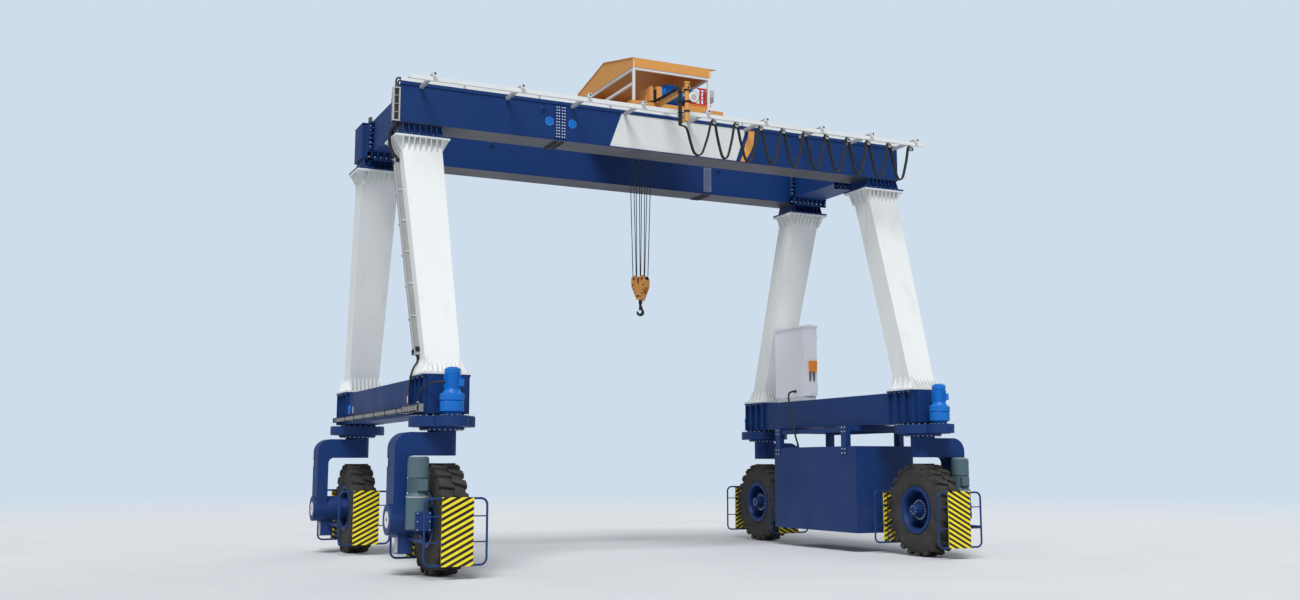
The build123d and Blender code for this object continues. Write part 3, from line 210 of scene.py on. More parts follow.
class Tree:
    """The node tree of one material, ending in a Principled shader."""

    def __init__(self, name: str) -> None:
        """Makes an empty material with its shader and output."""
        self.material = bpy.data.materials.new(name)
        self.material.use_nodes = True
        self.nodes = self.material.node_tree.nodes
        self.links = self.material.node_tree.links
        self.nodes.clear()
        self.shader = self.add("ShaderNodeBsdfPrincipled")
        self.add("ShaderNodeOutputMaterial", {}, {"Surface": self.shader.outputs[0]})
        self.place = self.add("ShaderNodeTexCoord").outputs["Object"]

    def add(self, kind: str, settings: dict | None = None, sockets: dict | None = None) -> bpy.types.Node:
        """Adds one node.

        Args:
            kind: the node's type.
            settings: its own settings, which are set first.
            sockets: values or links for its inputs, by name or number.

        Returns:
            The node.
        """
        node = self.nodes.new(kind)
        for key, value in (settings or {}).items():
            setattr(node, key, value)
        for key, value in (sockets or {}).items():
            self.feed(node.inputs[key], value)
        return node

    def feed(self, socket: bpy.types.NodeSocket, value: object) -> None:
        """Links a term or socket to an input, or sets its plain value."""
        if isinstance(value, Term):
            value = value.socket
        if isinstance(value, bpy.types.NodeSocket):
            self.links.new(value, socket)
        elif isinstance(value, tuple) and len(value) == 3 and socket.type == "RGBA":
            socket.default_value = (*value, 1.0)
        else:
            socket.default_value = value

    def noise(self, scale: float, detail: float = 3.0, stretch: Point = (1.0, 1.0, 1.0),
              rough: float = 0.55) -> Term:
        """Gives cloudy noise on the object's own coordinates.

        Args:
            scale: how fine it is, in patches to the metre.
            detail: how many finer layers it has.
            stretch: how much faster it changes along each axis.
            rough: how strong the finer layers are.

        Returns:
            The noise, about 0.5 in the middle.
        """
        spot = self.add("ShaderNodeMapping", {}, {"Vector": self.place, "Scale": tuple(stretch)})
        sockets = {"Vector": spot.outputs[0], "Scale": scale, "Detail": detail, "Roughness": rough}
        return Term(self, self.add("ShaderNodeTexNoise", {}, sockets).outputs[0])

    def axis(self, index: int) -> Term:
        """Gives one coordinate of the object's own space."""
        return Term(self, self.add("ShaderNodeSeparateXYZ", {}, {0: self.place}).outputs[index])

    def mix(self, share: Term | float, first: object, second: object) -> bpy.types.NodeSocket:
        """Mixes two colours by a share.

        Args:
            share: 0 for the first colour, 1 for the second.
            first, second: colours or sockets that give them.

        Returns:
            The mixed colour's socket.
        """
        node = self.add("ShaderNodeMix", {"data_type": "RGBA"}, {0: share, 6: first, 7: second})
        return node.outputs[2]

    def relief(self, height: Term, distance: float, strength: float = 1.0) -> None:
        """Feeds a height into the shader's normal, over any relief that is there."""
        sockets = {"Height": height, "Distance": distance, "Strength": strength}
        link = self.shader.inputs["Normal"].links
        if link:
            sockets["Normal"] = link[0].from_socket
        bump = self.add("ShaderNodeBump", {}, sockets)
        self.feed(self.shader.inputs["Normal"], bump.outputs[0])

    def surface(self, **sockets: object) -> None:
        """Sets or links the shader's own inputs, named with underscores for spaces."""
        for key, value in sockets.items():
            self.feed(self.shader.inputs[key.replace("_", " ").title()], value)


@dataclass(frozen=True)
class Finish:
    """A surface finish with a name, from which one material is made."""

    name: str

    def material(self) -> bpy.types.Material:
        """Gives the finish's material, made the first time it is asked for."""
        found = bpy.data.materials.get(self.name)
        if found is None:
            tree = Tree(self.name)
            self.dress(tree)
            found = tree.material
        return found

    def dress(self, tree: Tree) -> None:
        """Builds the finish in an empty tree."""
        raise NotImplementedError


@dataclass(frozen=True)
class Enamel(Finish):
    """Sprayed paint on welded plate: faint clouds, rain streaks, dust near the ground and orange peel."""

    colour: Colour
    shade: Colour
    dust: Colour = paint(150, 143, 132)
    rough: float = 0.42
    weather: float = 0.35
    dusty: float = 0.20
    sheen: float = 0.35

    def tones(self, tree: Tree) -> tuple[object, object]:
        """Gives the clean colour and the worn one."""
        return self.colour, self.shade

    def dress(self, tree: Tree) -> None:
        """Builds the paint: colour, roughness and relief."""
        clean, shaded = self.tones(tree)
        clouds = tree.noise(0.55, 5.0).over(0.30, 0.72)
        streaks = tree.noise(2.6, 4.0, (1.0, 1.0, 0.09), 0.6).over(0.50, 0.78)
        specks = tree.noise(34.0, 3.0, rough=0.7).over(0.66, 0.74)
        worn = clouds * 0.55 * self.weather + streaks * 0.9 * self.weather
        low = 1.0 - tree.axis(2).over(0.15, 3.2)
        settled = low * tree.noise(1.7, 6.0, rough=0.65).over(0.30, 0.70) * self.dusty
        tone = tree.mix(worn, clean, shaded)
        tone = tree.mix(settled + specks * 0.10 * self.weather, tone, self.dust)
        tree.feed(tree.shader.inputs["Specular IOR Level"], self.sheen)
        tree.surface(base_color=tone, roughness=self.rough + 0.16 * clouds + settled * 0.35)
        tree.relief(tree.noise(1.1, 2.0), 0.010, 0.22)
        tree.relief(tree.noise(160.0, 2.0), 0.0012, 0.18)


@dataclass(frozen=True)
class BandedEnamel(Enamel):
    """Paint that has another colour below each of some heights, as the painted light under a girder or the
    colours low on a tray.
    """

    bands: tuple[tuple[float, Colour], ...] = ()
    axis: int = 2

    def tones(self, tree: Tree) -> tuple[object, object]:
        """Gives the colours by place along the axis, clean and worn."""
        clean, place = self.colour, tree.axis(self.axis)
        for level, below in self.bands:
            clean = tree.mix(place.above(level), below, clean)
        return clean, tree.mix(0.3, clean, self.shade)


@dataclass(frozen=True)
class HubEnamel(Enamel):
    """An arm's paint, with a white disc and a dark middle painted on its flat hub face."""

    face_x: float = 6.108
    centre: Pair = (WHEEL_Y, 0.950)
    disc: float = 0.150
    edge: float = 0.008
    bore: float = 0.034
    disc_white: Colour = paint(232, 234, 236)
    ring_black: Colour = paint(44, 48, 58)

    def tones(self, tree: Tree) -> tuple[object, object]:
        """Gives the colours, clean and worn, with the hub face's where it lies."""
        across = tree.axis(1).size() - self.centre[0]
        up = tree.axis(2) - self.centre[1]
        reach = (across * across + up * up).maths("POWER", 0.5)
        on_disc = 1.0 - reach.above(self.disc)
        dark = on_disc * reach.above(self.disc - self.edge) + (1.0 - reach.above(self.bore))
        face = tree.mix(on_disc, self.colour, self.disc_white)
        face = tree.mix(dark, face, self.ring_black)
        clean = tree.mix(tree.axis(0).size().above(self.face_x), self.colour, face)
        return clean, tree.mix(0.5, clean, self.shade)


@dataclass(frozen=True)
class WarningBands(Finish):
    """Slanted yellow and black bands on a guard's boards, mirrored between its two boards."""

    side: int
    centre_y: float
    pitch: float = 0.104
    slope: float = 0.52
    yellow: Colour = paint(248, 226, 34)
    black: Colour = paint(12, 11, 10)

    def dress(self, tree: Tree) -> None:
        """Builds the bands, with scuffs and dust low down."""
        behind = (tree.axis(1) - self.centre_y).above(0.0)
        lean = (1.0 - 2.0 * behind) * float(self.side) * self.slope
        place = (tree.axis(2) + tree.axis(0) * lean) / self.pitch
        dark = (place + 50.0).part_of_one().above(0.49)
        scuff = tree.noise(9.0, 6.0, rough=0.7).over(0.60, 0.78) * 0.22
        low = (1.0 - tree.axis(2).over(0.2, 1.1)) * tree.noise(3.0, 5.0).over(0.35, 0.75) * 0.14
        tone = tree.mix(dark, self.yellow, self.black)
        tone = tree.mix(scuff + low, tone, paint(120, 112, 96))
        tree.surface(base_color=tone, roughness=0.45 + 0.3 * scuff)
        tree.relief(tree.noise(90.0, 3.0), 0.0010, 0.25)


@dataclass(frozen=True)
class Rubber(Finish):
    """Tyre rubber: near black, with grey dust on the worn faces and a fine grain."""

    colour: Colour = paint(46, 44, 43)
    dust: Colour = paint(98, 92, 86)
    dusty: float = 0.55

    def dress(self, tree: Tree) -> None:
        """Builds the rubber's colour and grain."""
        patches = tree.noise(3.2, 6.0, rough=0.65).over(0.38, 0.74)
        fine = tree.noise(46.0, 4.0, rough=0.7).over(0.45, 0.80)
        share = patches * 0.6 * self.dusty + fine * 0.25 * self.dusty
        tree.surface(base_color=tree.mix(share, self.colour, self.dust), roughness=0.80 + 0.14 * patches)
        tree.relief(tree.noise(28.0, 5.0, rough=0.6), 0.004, 0.30)
        tree.relief(tree.noise(240.0, 3.0), 0.0012, 0.35)


@dataclass(frozen=True)
class Steel(Finish):
    """Bare metal with a brushed grain and darker, rougher stains."""

    colour: Colour = paint(150, 152, 155)
    stain: Colour = paint(84, 74, 66)
    rough: float = 0.38
    metal: float = 0.9
    stained: float = 0.5
    grain: Point = (4.0, 40.0, 40.0)

    def dress(self, tree: Tree) -> None:
        """Builds the metal's colour, gloss and grain."""
        stains = tree.noise(6.0, 6.0, rough=0.65).over(0.45, 0.75) * self.stained
        brushed = tree.noise(6.0, 4.0, self.grain)
        tree.surface(
            base_color=tree.mix(stains, self.colour, self.stain),
            metallic=self.metal - stains * 0.5,
            roughness=self.rough + 0.35 * stains + 0.12 * brushed,
        )
        tree.relief(brushed, 0.0012, 0.25)


@dataclass(frozen=True)
class LaidRope(Finish):
    """Greased wire rope, its strands laid on a slant."""

    colour: Colour = paint(74, 78, 84)
    # Dark colour for the painted shade between strands, and for grease.
    gap: Colour = paint(22, 22, 24)
    lay: float = 0.055

    def dress(self, tree: Tree) -> None:
        """Builds the strands as slanted bands with rounded relief, and paints shade dark into the grooves
        between them.
        """
        slant = (tree.axis(2) + tree.axis(0) * 1.4) / self.lay
        strand = (slant + 400.0).part_of_one()
        crown = strand * (1.0 - strand) * 4.0
        grease = tree.noise(9.0, 5.0).over(0.4, 0.75)
        # The grooves between strands take the dark colour as painted shade; the grease patches take the same
        # dark colour.
        tone = tree.mix(crown.over(0.1, 0.8), self.gap, self.colour)
        tone = tree.mix(grease * 0.4, tone, self.gap)
        tree.surface(base_color=tone, metallic=0.55, roughness=0.42 + grease * 0.2)
        tree.relief(crown, 0.003, 0.6)


@dataclass(frozen=True)
class Sheath(Finish):
    """The soft outer sheath of a cable, matt and slightly dusty."""

    colour: Colour = paint(30, 30, 30)
    dust: Colour = paint(80, 78, 74)

    def dress(self, tree: Tree) -> None:
        """Builds the sheath's colour and fine grain."""
        dusty = tree.noise(7.0, 5.0, rough=0.65).over(0.42, 0.80)
        tree.surface(base_color=tree.mix(dusty * 0.45, self.colour, self.dust), roughness=0.62 + 0.2 * dusty)
        tree.relief(tree.noise(120.0, 3.0), 0.0008, 0.3)


@dataclass(frozen=True)
class Ground(Finish):
    """A pale floor that fades out into the backdrop far from the crane."""

    colour: Colour = paint(214, 217, 220)
    clear_from: float = 20.0
    clear_to: float = 60.0

    def dress(self, tree: Tree) -> None:
        """Builds the floor's tone, and mixes it into a clear shader far out."""
        grain = tree.noise(0.35, 6.0, rough=0.6).over(0.3, 0.75)
        tone = tree.mix(grain * 0.35, self.colour, paint(200, 203, 207))
        tree.surface(base_color=tone, roughness=0.85)
        reach = tree.add("ShaderNodeVectorMath", {"operation": "LENGTH"}, {0: tree.place}).outputs[1]
        fade = Term(tree, reach).over(self.clear_from, self.clear_to)
        clear = tree.add("ShaderNodeBsdfTransparent")
        shaders = {0: fade, 1: tree.shader.outputs[0], 2: clear.outputs[0]}
        both = tree.add("ShaderNodeMixShader", {}, shaders)
        output = next(node for node in tree.nodes if node.type == "OUTPUT_MATERIAL")
        tree.feed(output.inputs["Surface"], both.outputs[0])


NAVY = Enamel("navy_enamel", paint(16, 54, 112), paint(11, 39, 86), weather=0.30, dusty=0.05, sheen=0.28)
# Between 8.226 and 8.2415 m, on the girders' underside, the navy turns grey: painted light, the floor's glow
# reflected on faces that look down.
GIRDER_NAVY_WITH_PAINTED_UNDERSIDE_LIGHT = BandedEnamel("girder_enamel", NAVY.colour, NAVY.shade, weather=0.3, sheen=0.28,
                           bands=((8.2415, paint(70, 70, 80)), (8.226, NAVY.colour)))
HUB_NAVY = HubEnamel("hub_enamel", NAVY.colour, NAVY.shade, weather=0.3, dusty=0.05, sheen=0.2)
RIM_BLUE = Enamel("rim_enamel", paint(12, 48, 104), paint(9, 36, 80), weather=0.35, dusty=0.08, sheen=0.25)
DRIVE_BLUE = Enamel("drive_blue_enamel", paint(8, 112, 202), paint(5, 84, 158),
                    rough=0.36, weather=0.25, dusty=0.05)
WHITE = Enamel("white_enamel", paint(236, 239, 238), paint(208, 211, 209),
               rough=0.45, weather=0.42, dusty=0.14)
SIGN_WHITE = Enamel("panel_white_enamel", paint(226, 229, 228), paint(196, 200, 200), rough=0.5, weather=0.3)
OCHRE = Enamel("ochre_enamel", paint(230, 164, 88), paint(196, 132, 68), rough=0.45, weather=0.4)
RED = Enamel("red_enamel", paint(214, 52, 52), paint(166, 36, 38), weather=0.3)
ORANGE = Enamel("orange_enamel", paint(240, 144, 50), paint(206, 110, 38), weather=0.3)
MOTOR_GREY = Enamel("motor_grey_enamel", paint(78, 104, 114), paint(58, 80, 90),
                    rough=0.4, weather=0.5, dusty=0.12)
PALE_GREY = Enamel("pale_grey_enamel", paint(196, 198, 200), paint(160, 162, 165), rough=0.5, weather=0.45)
TRAY_GREY = Enamel("tray_grey_enamel", paint(150, 151, 150), paint(112, 113, 112), rough=0.5, weather=0.5)
TRAYS = BandedEnamel("tray_enamel", NAVY.colour, paint(90, 90, 88), weather=0.4, sheen=0.28,
                     bands=((8.95, paint(186, 188, 190)), (7.9, paint(172, 175, 176)),
                            (3.4, paint(140, 141, 140))))
# Below X = -0.728 the roof, at its gable end, turns pale tan: painted light, as though the key light fell
# fully on that end.
ROOF_WITH_PAINTED_LIT_GABLE = BandedEnamel("roof_enamel", OCHRE.colour, OCHRE.shade, rough=0.45, weather=0.4, axis=0,
                    bands=((-0.728, paint(255, 206, 160)),))
# The festoon brackets are grey inward of Y = -2.735 and white beyond it: the grey is painted shade on their
# white paint.
BRACKETS_WITH_PAINTED_SHADE = BandedEnamel("bracket_enamel", paint(170, 173, 176), paint(130, 132, 135), axis=1,
                        bands=((-2.735, WHITE.colour),))
ALARM = BandedEnamel("alarm_enamel", ORANGE.colour, ORANGE.shade, bands=((4.078, paint(40, 40, 42)),))
BOLT_WHITE = Enamel("bolt_white_enamel", paint(236, 238, 240), paint(190, 192, 195), weather=0.3, dusty=0.0)
CABINET_GREY = Enamel("cabinet_enamel", paint(238, 240, 246), paint(216, 218, 224),
                      rough=0.48, weather=0.35, dusty=0.1)
# Dark paint for black handles, latches, clamps, nuts and seams; also painted shade for bores, eyes, grille
# openings, slots and the bolts under the splices.
DARK_TRIM_AND_PAINTED_SHADE = Enamel("gap_black_enamel", paint(26, 28, 34), paint(16, 17, 20), rough=0.7, weather=0.3, dusty=0.0)
YELLOW = Enamel("yellow_enamel", paint(244, 220, 44), paint(204, 182, 44), weather=0.4)
TYRE = Rubber("tyre_rubber_finish")
ZINC = Steel("zinc_plated_steel", paint(206, 208, 210), paint(140, 140, 138),
             rough=0.34, metal=0.55, stained=0.4)
PASSIVATED = Steel("yellow_zinc_steel", paint(186, 168, 118), paint(120, 104, 70), rough=0.4, metal=0.6)
RAIL = Steel("rail_steel_finish", paint(128, 126, 124), paint(92, 72, 58), rough=0.42, stained=0.7)
FORGED = Steel("forged_steel_finish", paint(56, 54, 54), paint(38, 34, 33), rough=0.5, metal=0.55, stained=0.6)
ROPE = LaidRope("wire_rope_finish")
CABLE = Sheath("cable_sheath_finish")

NODE_FINISHES = {
    "blue_paint": NAVY,
    "bright_blue_paint": DRIVE_BLUE,
    "ochre_paint": OCHRE,
    "white_paint": WHITE,
    "grey_paint": PALE_GREY,
    "motor_grey": MOTOR_GREY,
    "red_paint": RED,
    "orange_paint": ORANGE,
    "rail_steel": RAIL,
    "forged_steel": FORGED,
    "wire_rope": ROPE,
    "tyre_rubber": TYRE,
    "cable_rubber": CABLE,
    "warning_paint": YELLOW,
}

# Nodes whose finish isn't their slot's own
OWN_FINISHES = {
    "sign_panel": SIGN_WHITE,
    "control_cabinet": CABINET_GREY,
    "cable_trays": TRAYS,
    "alarm_box": ALARM,
    "canopy_roof": ROOF_WITH_PAINTED_LIT_GABLE,
    "festoon_brackets": BRACKETS_WITH_PAINTED_SHADE,
    **{f"wheel_arm_{corner_name(side, end)}": HUB_NAVY for side, end in CORNERS},
    "girder_front": GIRDER_NAVY_WITH_PAINTED_UNDERSIDE_LIGHT,
    "girder_rear": GIRDER_NAVY_WITH_PAINTED_UNDERSIDE_LIGHT,
}


# Mesh building


def smooth_curve(name: str, points: Sequence[Point], radius: float, smoothness: int,
                 steps: int) -> bpy.types.Curve:
    """Makes the curve of a round line, which starts and ends at its outer control points.

    Args:
        name: the curve's name.
        points: its control points.
        radius: the line's radius.
        smoothness: how many extra flats each quarter of its section has.
        steps: how many steps it takes between two control points.

    Returns:
        The curve.
    """
    curve = bpy.data.curves.new(name, "CURVE")
    curve.dimensions = "3D"
    curve.bevel_depth = radius
    curve.bevel_resolution = smoothness
    curve.use_fill_caps = True
    spline = curve.splines.new("NURBS")
    spline.points.add(len(points) - 1)
    for knot, point in zip(spline.points, points):
        knot.co = (*point, 1.0)
    spline.order_u = 3
    spline.use_endpoint_u = True
    spline.resolution_u = steps
    return curve


class Forge:
    """Gathers plain forms into one mesh and hands it over as a finished piece."""

    def __init__(self, name: str) -> None:
        """Starts an empty mesh for the named piece."""
        self.name = name
        self.mesh = bmesh.new()
        self.finishes: list[Finish] = []

    def coat(self, faces: Iterable[bmesh.types.BMFace], finish: Finish) -> None:
        """Gives faces a finish, and smooth shading up to the crease angle."""
        if finish not in self.finishes:
            self.finishes.append(finish)
        index = self.finishes.index(finish)
        for face in faces:
            face.material_index = index
            face.smooth = True

    def settle(self, verts: Sequence[bmesh.types.BMVert], finish: Finish, bevel: float) -> None:
        """Coats the form that these vertices belong to, and bevels its sharp edges.

        Args:
            verts: the form's vertices.
            finish: its finish.
            bevel: the width of the bevel, or 0 for none.
        """
        faces = list(dict.fromkeys(face for vert in verts for face in vert.link_faces))
        self.coat(faces, finish)
        if bevel:
            edges = dict.fromkeys(edge for vert in verts for edge in vert.link_edges)
            sharp = [edge for edge in edges if edge.calc_face_angle(0.0) > CREASE]
            bmesh.ops.bevel(self.mesh, geom=sharp, offset=bevel, offset_type="OFFSET", segments=1,
                            profile=0.5, affect="EDGES", material=-1)

    def box(self, low: Point, high: Point, finish: Finish, bevel: float = 0.003,
            turn: Matrix | None = None) -> None:
        """Adds a box between two corners.

        Args:
            low, high: its lowest and highest corners.
            finish: its finish.
            bevel: how far its edges are broken.
            turn: a turn about the box's own centre.
        """
        low, high = Vector(low), Vector(high)
        spin = (turn or Matrix.Identity(3)).to_4x4()
        place = Matrix.Translation((low + high) / 2) @ spin @ Matrix.Diagonal((*(high - low), 1.0))
        made = bmesh.ops.create_cube(self.mesh, size=1.0, matrix=place)
        self.settle(made["verts"], finish, bevel)

    def block(self, centre: Point, half: Point, finish: Finish, bevel: float = 0.003,
              turn: Matrix | None = None) -> None:
        """Adds a box about its centre.

        Args:
            centre: its centre.
            half: half of its sizes.
            finish: its finish.
            bevel: how far its edges are broken.
            turn: a turn about its centre.
        """
        centre, half = Vector(centre), Vector(half)
        self.box(centre - half, centre + half, finish, bevel, turn)

    def fins(self, middle: Point, axis: str, arm: Point, half: Point, count: int, finish: Finish) -> None:
        """Adds a ring of thin fins round a motor.

        Args:
            middle: the ring's centre.
            axis: the letter of the axis that the fins run along.
            arm: the way from the centre to the first fin's own centre.
            half: half of a fin's sizes.
            count: how many fins it has.
            finish: their finish.
        """
        for index in range(count):
            turn = Matrix.Rotation(FULL_TURN * index / count, 3, axis)
            self.block(Vector(middle) + turn @ Vector(arm), half, finish, 0.0, turn)

    def rod(self, start: Point, end: Point, radius: float, finish: Finish, tip: float | None = None,
            sides: int = 20, bevel: float = 0.0) -> None:
        """Adds a round bar or a cone between two points.

        Args:
            start, end: the ends of its axis.
            radius: its radius at the start.
            finish: its finish.
            tip: its radius at the end, when that differs.
            sides: how many flats it has.
            bevel: how far its rims are broken.
        """
        start, end = Vector(start), Vector(end)
        run = end - start
        turn = run.to_track_quat("Z", "Y").to_matrix().to_4x4()
        made = bmesh.ops.create_cone(
            self.mesh, cap_ends=True, segments=sides, radius1=radius, radius2=radius if tip is None else tip,
            depth=run.length, matrix=Matrix.Translation((start + end) / 2) @ turn)
        self.settle(made["verts"], finish, bevel)

    def bolt(self, place: Point, normal: Point, across: float, finish: Finish = ZINC) -> None:
        """Adds a hexagon head that stands on a surface.

        Args:
            place: the middle of its seat.
            normal: the way it points.
            across: its width over the corners.
            finish: its finish.
        """
        place, normal = Vector(place), Vector(normal).normalized()
        top = place + normal * across * BOLT_HEIGHT
        self.rod(place - normal * BOLT_SEAT, top, across / 2, finish, sides=BOLT_SIDES)

    def bolt_ring(self, centre: Point, normal: Point, radius: float, count: int, across: float,
                  finish: Finish = ZINC) -> None:
        """Adds a ring of bolts on a flange.

        Args:
            centre: the ring's centre on the flange.
            normal: the way the bolts point.
            radius: the ring's radius.
            count: how many bolts it has.
            across: each head's width.
            finish: their finish.
        """
        turn = Vector(normal).to_track_quat("Z", "Y")
        for index in range(count):
            angle = FULL_TURN * (index + 0.5) / count
            arm = turn @ Vector((math.cos(angle), math.sin(angle), 0.0))
            self.bolt(Vector(centre) + arm * radius, normal, across, finish)

    def raise_face(self, outline: Iterable[Point]) -> tuple[Verts, Verts]:
        """Adds a face with a twin that is joined to it by walls, both still in the same place.

        Args:
            outline: the face's corners.

        Returns:
            The face's vertices and its twin's.
        """
        verts = [self.mesh.verts.new(point) for point in outline]
        made = bmesh.ops.extrude_face_region(self.mesh, geom=[self.mesh.faces.new(verts)])
        return verts, [item for item in made["geom"] if isinstance(item, bmesh.types.BMVert)]

    def prism(self, outline: Iterable[Point], run: Point, finish: Finish, bevel: float = 0.0) -> None:
        """Adds a plate or block with the given outline.

        Args:
            outline: the corners of its first face.
            run: how far that face is drawn out, and which way.
            finish: its finish.
            bevel: how far its edges are broken.
        """
        verts, moved = self.raise_face(outline)
        bmesh.ops.translate(self.mesh, verts=moved, vec=Vector(run))
        self.settle([*verts, *moved], finish, bevel)

    def lathe(self, profile: Profile, centre: Point, axis: Point, finish: Finish, steps: int = 48,
              ring: bool = False) -> None:
        """Adds a turned form.

        Args:
            profile: pairs of distance along the axis and radius.
            centre: where the distances start.
            axis: the way the distances run.
            finish: its finish.
            steps: how many flats go round.
            ring: whether the profile closes on itself.
        """
        turn = Vector(axis).to_track_quat("Z", "Y")
        spots = [Vector(centre) + turn @ Vector((radius, 0.0, along)) for along, radius in profile]
        part = bmesh.new()
        verts = [part.verts.new(spot) for spot in spots]
        pairs = list(zip(verts, verts[1:]))
        if ring:
            pairs.append((verts[-1], verts[0]))
        edges = [part.edges.new(pair) for pair in pairs]
        bmesh.ops.spin(part, geom=[*verts, *edges], cent=Vector(centre), axis=Vector(axis), angle=FULL_TURN,
                       steps=steps, use_merge=True)
        bmesh.ops.remove_doubles(part, verts=part.verts, dist=MERGE)
        self.absorb(part, finish)

    def tube(self, points: Sequence[Point], radius: float, finish: Finish, smoothness: int = 3) -> None:
        """Adds a round line along a smooth curve.

        Args:
            points: the control points of its curve.
            radius: the line's radius.
            finish: its finish.
            smoothness: how many extra flats each quarter has.
        """
        curve = smooth_curve("line", points, radius, smoothness, LINE_STEPS)
        line = bpy.data.objects.new("line", curve)
        bpy.context.scene.collection.objects.link(line)
        solid = bpy.data.meshes.new_from_object(line.evaluated_get(bpy.context.evaluated_depsgraph_get()))
        part = bmesh.new()
        part.from_mesh(solid)
        bmesh.ops.remove_doubles(part, verts=part.verts, dist=MERGE)
        self.absorb(part, finish)
        bpy.data.objects.remove(line)
        bpy.data.curves.remove(curve)
        bpy.data.meshes.remove(solid)

    def absorb(self, part: bmesh.types.BMesh, finish: Finish) -> None:
        """Takes over a form that was built apart, and frees it."""
        self.coat(part.faces, finish)
        scratch = bpy.data.meshes.new("scratch")
        part.to_mesh(scratch)
        part.free()
        self.mesh.from_mesh(scratch)
        bpy.data.meshes.remove(scratch)

    def piece(self) -> bpy.types.Object:
        """Closes the mesh into an object at the origin, dressed and ready to ride.


        Returns:
            The object.
        """
        bmesh.ops.recalc_face_normals(self.mesh, faces=self.mesh.faces)
        mesh = bpy.data.meshes.new(self.name)
        self.mesh.to_mesh(mesh)
        self.mesh.free()
        mesh.set_sharp_from_angle(angle=CREASE)
        for finish in self.finishes:
            mesh.materials.append(finish.material())
        made = bpy.data.objects.new(self.name, mesh)
        bpy.context.scene.collection.objects.link(made)
        LOG.info("%s: %d faces", self.name, len(mesh.polygons))
        return made

    def ride(self, body: str, replaced: Sequence[str] = ()) -> bpy.types.Object:
        """Closes the mesh and lets it move with a body.

        Args:
            body: the body's name.
            replaced: the solids that the piece stands for.

        Returns:
            The object.
        """
        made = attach(self.piece(), body)
        if replaced:
            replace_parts(made, *replaced)
        return made


def mirrored(point: Point, side: int = 1, end: int = 1) -> Vector:
    """Gives a point's twin on another side or end of the crane."""
    return Vector((point[0] * side, point[1] * end, point[2]))


def spread(count: int, low: float, high: float) -> list[float]:
    """Gives places spaced evenly from a low one to a high one."""
    return [low + (high - low) * index / (count - 1) for index in range(count)]


def cap(radius: float, rim: float, height: float, crown: float) -> Profile:
    """Gives the profile of a round cover with an upright rim, a slanted edge and a flat crown."""
    return (0.0, 0.0), (0.0, radius), (rim, radius), (height, crown), (height, 0.0)


def lid(radius: float, height: float, crown: float) -> Profile:
    """Gives the profile of a lid whose edge slants from its foot up to its flat crown."""
    return (0.0, 0.0), (0.0, radius), (height, crown), (height, 0.0)


def collar(inner: float, outer: float, height: float) -> Profile:
    """Gives the closed profile of a square edged ring."""
    return (0.0, inner), (0.0, outer), (height, outer), (height, inner)


# Sub-assemblies


